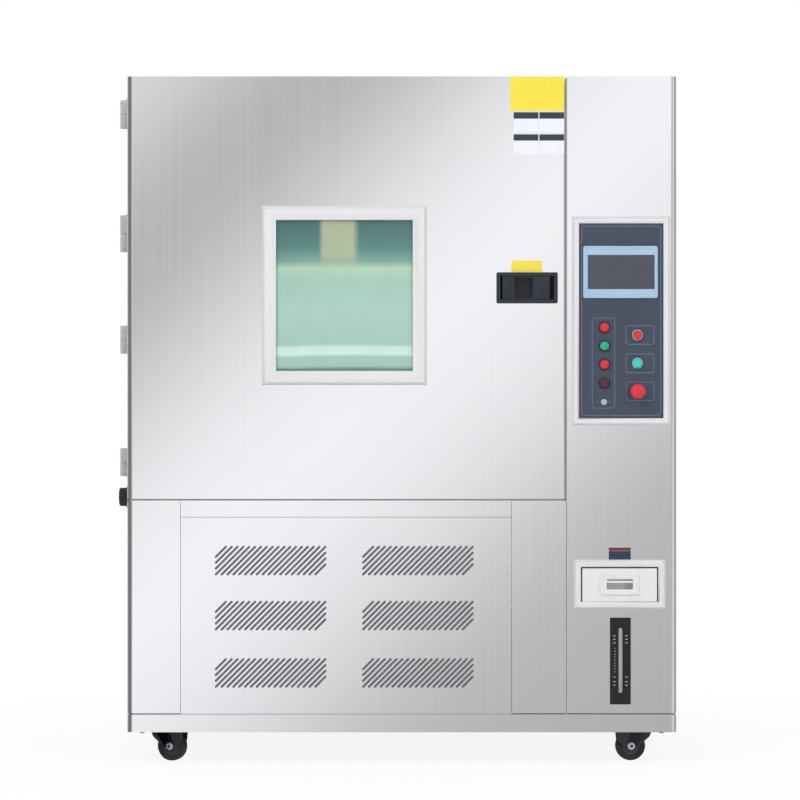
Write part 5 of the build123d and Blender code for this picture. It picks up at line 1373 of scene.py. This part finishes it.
class CHAMBER_OT_inside(bpy.types.Operator):
    """Workspace and machine space: shelves, coils, fans, compressor and water tank"""

    bl_idname = "chamber.inside"
    bl_label = "Inside"

    def execute(self, context):
        sizes, colours = context.scene.chamber_sizes, context.scene.chamber_colours
        steel = tank_steel(colours)
        coat_node(("inner_tank", "air_duct_panel"), steel)
        coat_node(("inner_frame",), painted("inner_frame_grey", linear(120, 122, 126)))
        coat_node(("fan_motor",), painted("motor_blue_grey", linear(74, 82, 92)))
        coat_node(("fan_impeller",), polished("impeller_metal", (0.66, 0.66, 0.67)))
        coat_node(("condenser_fan",), moulded("fan_black", linear(40, 40, 44)))
        coat_node(("water_tank",), moulded("tank_white", linear(214, 216, 214), roughness=0.4))
        coat_node(
            ("air_coils", "condenser"),
            finish(
                "coil_metal", (0.62, 0.52, 0.46), metallic=1.0, roughness=0.36,
                grain=(200, 200, 200), shade=0.14, cloud_size=9, uneven=0.08,
            ),
        )
        rods = []
        flat = (math.radians(90), 0, 0)
        bm = bmesh.new()
        for height in SHELF_HEIGHTS:
            for step in range(SHELF_RODS):
                left = TANK_MIDDLE + ROD_PITCH * (step - (SHELF_RODS - 1) / 2)
                rods.append((place(left, SHELF_MIDDLE, height + 5), flat, (1, 1, ROD_LENGTH)))
            for left, right, near, far in (
                (169.5, 945.5, 130, 138), (169.5, 945.5, 662, 670),
                (169.5, 177.5, 138, 662), (937.5, 945.5, 138, 662),
            ):
                bar(bm, place(left, near, height), place(right, far, height + 8), bevel=0.0018)
        shelf_steel = polished("shelf_steel", (0.78, 0.78, 0.78))
        finished("shelf_rims", bm, shelf_steel, "cabinet", ("shelves",))
        grow(
            "shelf_rods", rod_tree(), rods, {"Radius": 0.0028, "Sides": 12, "Length": 1.0},
            shelf_steel, "cabinet", ("shelves",),
        )
        alloy = finish(
            "fin_aluminium", (0.74, 0.75, 0.76), metallic=1.0, roughness=0.34, grain=(400, 400, 60),
            shade=0.1, cloud_size=12,
        )
        fins = fin_tree()
        pitch = sizes.fin_pitch
        for name, left, right, depth, low, high in FIN_BLOCKS:
            grow(
                name, fins, [(Vector(), (0, 0, 0), (1, 1, 1))],
                {
                    "Count": int((right - left) * MM / pitch), "Pitch": pitch, "Thickness": 0.0005,
                    "Depth": 0.0016, "Height": (high - low) * MM,
                    "Start": tuple(place(left, depth, (low + high) / 2)),
                },
                alloy, "cabinet",
            )
        low = place(*COMPRESSOR_PLACE)
        bm = bmesh.new()
        lathe(
            bm, low, UPWARD,
            [
                (0, 3), (70, 3), (76, 8), (78, 20), (78, 108), (81.6, 112), (81.6, 122), (78, 126),
                (78, 180), (75, 200), (66, 214), (48, 223), (24, 226), (0, 226.5),
            ],
            segments=56,
        )
        for shift in (-25, 25):
            lathe(
                bm, low + Vector((shift * MM, 0, 0)), UPWARD,
                [(0, 210), (7, 210), (7, 257), (6.2, 258), (0, 258)], segments=16,
            )
        bar(bm, low + Vector((-88, -61, 0.2)) * MM, low + Vector((88, 61, 6)) * MM, bevel=0.002)
        finished(
            "compressor_shell", bm, painted("compressor_black", linear(42, 43, 48), roughness=0.4),
            "cabinet", ("compressor",),
        )
        return {"FINISHED"}


CELL_LEFTS = (1016.2, 1081.8)
CELL_WIDTH = 63


class CHAMBER_OT_blank_plates(bpy.types.Operator):
    """Plain coloured plates on the door and the column, with nothing printed on them"""

    bl_idname = "chamber.blank_plates"
    bl_label = "Blank Plates"

    def execute(self, context):
        sizes, colours = context.scene.chamber_sizes, context.scene.chamber_colours
        thick = sizes.plate_thickness / MM
        yellow = painted("plate_yellow", colours.yellow, roughness=0.3)
        navy = painted("plate_navy", colours.navy, roughness=0.3)
        pale = painted("plate_white", linear(228, 230, 238), roughness=0.3)
        red = painted("plate_red", linear(112, 40, 52), roughness=0.3)
        pale_cells, navy_cells = (
            [(left, height, CELL_WIDTH, tall) for height, tall in rows for left in CELL_LEFTS]
            for rows in (((1624.5, 35), (1568.8, 35)), ((1650.5, 16.5), (1594.5, 16)))
        )
        groups = (
            ("plates_yellow", yellow, "door", ((1018.5, 1266.5, 79, 29), (1045, 1705.5, 138, 88))),
            ("plates_pale", pale, "door", pale_cells),
            ("plates_navy", navy, "door", navy_cells),
            ("column_plate_navy", navy, "cabinet", ((1255, 530.5, 56, 22),)),
            ("column_plate_red", red, "cabinet", ((1255, 546.2, 56, 8),)),
        )
        for name, material, body, plates in groups:
            bm = bmesh.new()
            for left, height, width, tall in plates:
                plate(bm, left, height, width, tall, 1.0, 0.02, thick, edge=0.15)
            finished(name, bm, material, body)
        return {"FINISHED"}


# Stage


WHITE = (1, 1, 1, 1)
FADE_RANGE = (0.8, 1.9)
FLOOR_REACH = 14
CARD_DEPTH = -8
BANDS = (
    (-5.0, 0.78), (-3.7, 0.811), (-3.25, 0.538), (-2.92, 0.45), (-2.65, 0.524), (-2.3, 0.689),
    (-2.1, 0.801), (-1.8, 0.943), (-1.43, 1.032), (-1.15, 1.07), (-0.74, 1.02), (-0.37, 0.942),
    (0.02, 0.82), (0.33, 0.681), (0.8, 0.54), (1.45, 0.514), (2.2, 0.47), (3.2, 0.52),
    (5.0, 0.64), (8.0, 0.74),
)
FLAG_GAP = 0.05
FLAG_EDGE = (0.75, 0.75, 0.76)
CAMERA_DISTANCE = 8.0
CAMERA_PLACE = (0.0125, 0.926)
VIEW_WIDTH = 2.037
SENSOR_WIDTH = 36


def staged(name, points, material, glossy_only=False):
    """Flat sheet of the studio through four points."""
    mesh = bpy.data.meshes.new(name)
    mesh.from_pydata(points, [], [(0, 1, 2, 3)])
    mesh.materials.append(material)
    sheet = placed(name, mesh)
    if glossy_only:
        sheet.visible_camera = False
        sheet.visible_diffuse = False
        sheet.visible_shadow = False
        sheet.visible_transmission = False
    return sheet


def studio_tree(owner):
    """Empty node tree of a studio material or world."""
    owner.use_nodes = True
    owner.node_tree.nodes.clear()
    return owner.node_tree


def floor_material():
    """Pale floor that keeps the shadow and fades into the white backdrop."""
    material = bpy.data.materials.new("studio_floor")
    tree = studio_tree(material)
    where = add_node(tree, "ShaderNodeTexCoord").outputs["Object"]
    far = add_node(tree, "ShaderNodeVectorMath", {0: where}, operation="LENGTH")
    fade = mapped(tree, far.outputs["Value"], *FADE_RANGE, 0.9, 1.0)
    camera_ray = add_node(tree, "ShaderNodeLightPath").outputs["Is Camera Ray"]
    pale = add_node(tree, "ShaderNodeBsdfDiffuse", {"Color": (0.9, 0.9, 0.9, 1)})
    mix = add_node(
        tree, "ShaderNodeMixShader",
        {
            0: reckoned(tree, "MULTIPLY", fade, camera_ray), 1: pale.outputs[0],
            2: add_node(tree, "ShaderNodeEmission").outputs[0],
        },
    )
    add_node(tree, "ShaderNodeOutputMaterial", {"Surface": mix.outputs[0]})
    return material


def card(name, points, direction, stops):
    """Card that only metal and glass reflect. Its tone follows the distance along a direction."""
    material = bpy.data.materials.new(name + "_glow")
    tree = studio_tree(material)
    where = add_node(tree, "ShaderNodeTexCoord").outputs["Object"]
    along = add_node(
        tree, "ShaderNodeVectorMath", {0: where, 1: direction}, operation="DOT_PRODUCT"
    )
    tone = banded(tree, along.outputs["Value"], stops)
    glow = add_node(tree, "ShaderNodeEmission", {"Color": tone})
    add_node(tree, "ShaderNodeOutputMaterial", {"Surface": glow.outputs[0]})
    staged(name, points, material, glossy_only=True)


def lamp(name, location, target, size, power):
    """Large soft lamp that no metal shows as a spot."""
    data = bpy.data.lights.new(name, "AREA")
    data.shape = "SQUARE"
    data.size = size
    data.energy = power
    made = placed(name, data)
    made.location = location
    made.rotation_euler = (Vector(target) - Vector(location)).to_track_quat("-Z", "Y").to_euler()
    made.visible_glossy = False


def studio_world(world):
    """White backdrop that lights softly and shows in metal as pale clouds."""
    tree = studio_tree(world)
    sky = add_node(tree, "ShaderNodeTexCoord").outputs["Generated"]
    clouds = spread(tree, noise(tree, sky, 1.4, 1.0), 0.5, 0.98)
    soft, cloudy, white = (
        add_node(tree, "ShaderNodeBackground", {"Color": colour, "Strength": strength}).outputs[0]
        for colour, strength in ((WHITE, 0.5), (clouds, 1.0), (WHITE, 1.0))
    )
    rays = add_node(tree, "ShaderNodeLightPath").outputs
    seen = reckoned(tree, "MAXIMUM", rays["Is Camera Ray"], rays["Is Transmission Ray"])
    mirrored = add_node(
        tree, "ShaderNodeMixShader", {0: rays["Is Glossy Ray"], 1: soft, 2: cloudy}
    )
    mix = add_node(tree, "ShaderNodeMixShader", {0: seen, 1: mirrored.outputs[0], 2: white})
    add_node(tree, "ShaderNodeOutputWorld", {"Surface": mix.outputs[0]})


class CHAMBER_OT_stage(bpy.types.Operator):
    """Floor, studio cards, lamps, world and camera"""

    bl_idname = "chamber.stage"
    bl_label = "Stage"

    def execute(self, context):
        scene = context.scene
        corners = ((-1, -1), (1, -1), (1, 1), (-1, 1))
        floor = staged(
            "floor", [(x * FLOOR_REACH, y * FLOOR_REACH, 0) for x, y in corners], floor_material()
        )
        floor.visible_glossy = False
        card(
            "band_card", [(x * 7, CARD_DEPTH, 1 + z * 7) for x, z in corners], (1, 0, -1),
            [(position, (level, level, level)) for position, level in BANDS],
        )
        left_edge, right_edge = CORNER.x - FLAG_GAP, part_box("base_skirt")[1].x + FLAG_GAP
        for name, x, ahead, behind, level in (
            ("left_flag", left_edge, 0.2, 0.08, 0.2), ("right_flag", right_edge, 0.03, 0.08, 0.34),
        ):
            near, far = CORNER.y - ahead, CORNER.y + behind
            soft, middle = (far - near) / 4, (level, level, level * 1.02)
            card(
                name, [(x, near, -0.1), (x, far, -0.1), (x, far, 2), (x, near, 2)], (0, 1, 0),
                ((near, FLAG_EDGE), (near + soft, middle), (far - soft, middle), (far, FLAG_EDGE)),
            )
        scene.world = bpy.data.worlds.new("studio")
        studio_world(scene.world)
        lamp("key_lamp", (-2.6, -4.2, 4.4), (0, -0.4, 0.9), 3.0, 150)
        lamp("fill_lamp", (3.4, -4.0, 2.6), (0, -0.4, 0.9), 3.0, 70)
        lamp("back_lamp", (0.5, 4.6, 3.8), (0, 0.4, 0.9), 3.0, 90)
        inner = bpy.data.lights.new("workspace_lamp", "AREA")
        inner.shape = "RECTANGLE"
        inner.size, inner.size_y = 0.5, 0.3
        inner.energy = 5
        placed("workspace_lamp", inner).location = place(TANK_MIDDLE, 380, 1625)
        camera = bpy.data.cameras.new("camera")
        camera.sensor_width = SENSOR_WIDTH
        camera.lens = SENSOR_WIDTH * CAMERA_DISTANCE / VIEW_WIDTH
        camera.clip_end = 100
        view = placed("camera", camera)
        left, height = CAMERA_PLACE
        view.location = (left, CORNER.y - CAMERA_DISTANCE, height)
        view.rotation_euler = (math.radians(90), 0, 0)
        scene.camera = view
        scene.view_settings.view_transform = "Standard"
        return {"FINISHED"}


MAKERS = (
    CHAMBER_OT_panels, CHAMBER_OT_door, CHAMBER_OT_window, CHAMBER_OT_latch, CHAMBER_OT_hinges,
    CHAMBER_OT_control_panel, CHAMBER_OT_touch_screen, CHAMBER_OT_lamps, CHAMBER_OT_buttons,
    CHAMBER_OT_drawer, CHAMBER_OT_gauge, CHAMBER_OT_casters, CHAMBER_OT_fittings,
    CHAMBER_OT_inside, CHAMBER_OT_blank_plates, CHAMBER_OT_stage,
)


class CHAMBER_PT_sidebar(bpy.types.Panel):
    """Sizes, colours and makers of the test chamber"""

    bl_idname = "CHAMBER_PT_sidebar"
    bl_label = "Test Chamber"
    bl_space_type = "VIEW_3D"
    bl_region_type = "UI"
    bl_category = "Test Chamber"

    def draw(self, context):
        for group in (context.scene.chamber_sizes, context.scene.chamber_colours):
            column = self.layout.column(align=True)
            for label in group.__annotations__:
                column.prop(group, label)
        column = self.layout.column(align=True)
        for maker in MAKERS:
            column.operator(maker.bl_idname)


CLASSES = (ChamberSizes, ChamberColours, *MAKERS, CHAMBER_PT_sidebar)


def register():
    for made in CLASSES:
        bpy.utils.register_class(made)
    bpy.types.Scene.chamber_sizes = bpy.props.PointerProperty(type=ChamberSizes)
    bpy.types.Scene.chamber_colours = bpy.props.PointerProperty(type=ChamberColours)


def unregister():
    del bpy.types.Scene.chamber_colours
    del bpy.types.Scene.chamber_sizes
    for made in reversed(CLASSES):
        bpy.utils.unregister_class(made)


def main():
    """Make every piece."""
    register()
    for maker in MAKERS:
        family, action = maker.bl_idname.split(".")
        getattr(getattr(bpy.ops, family), action)()


if __name__ == "__main__":
    main()
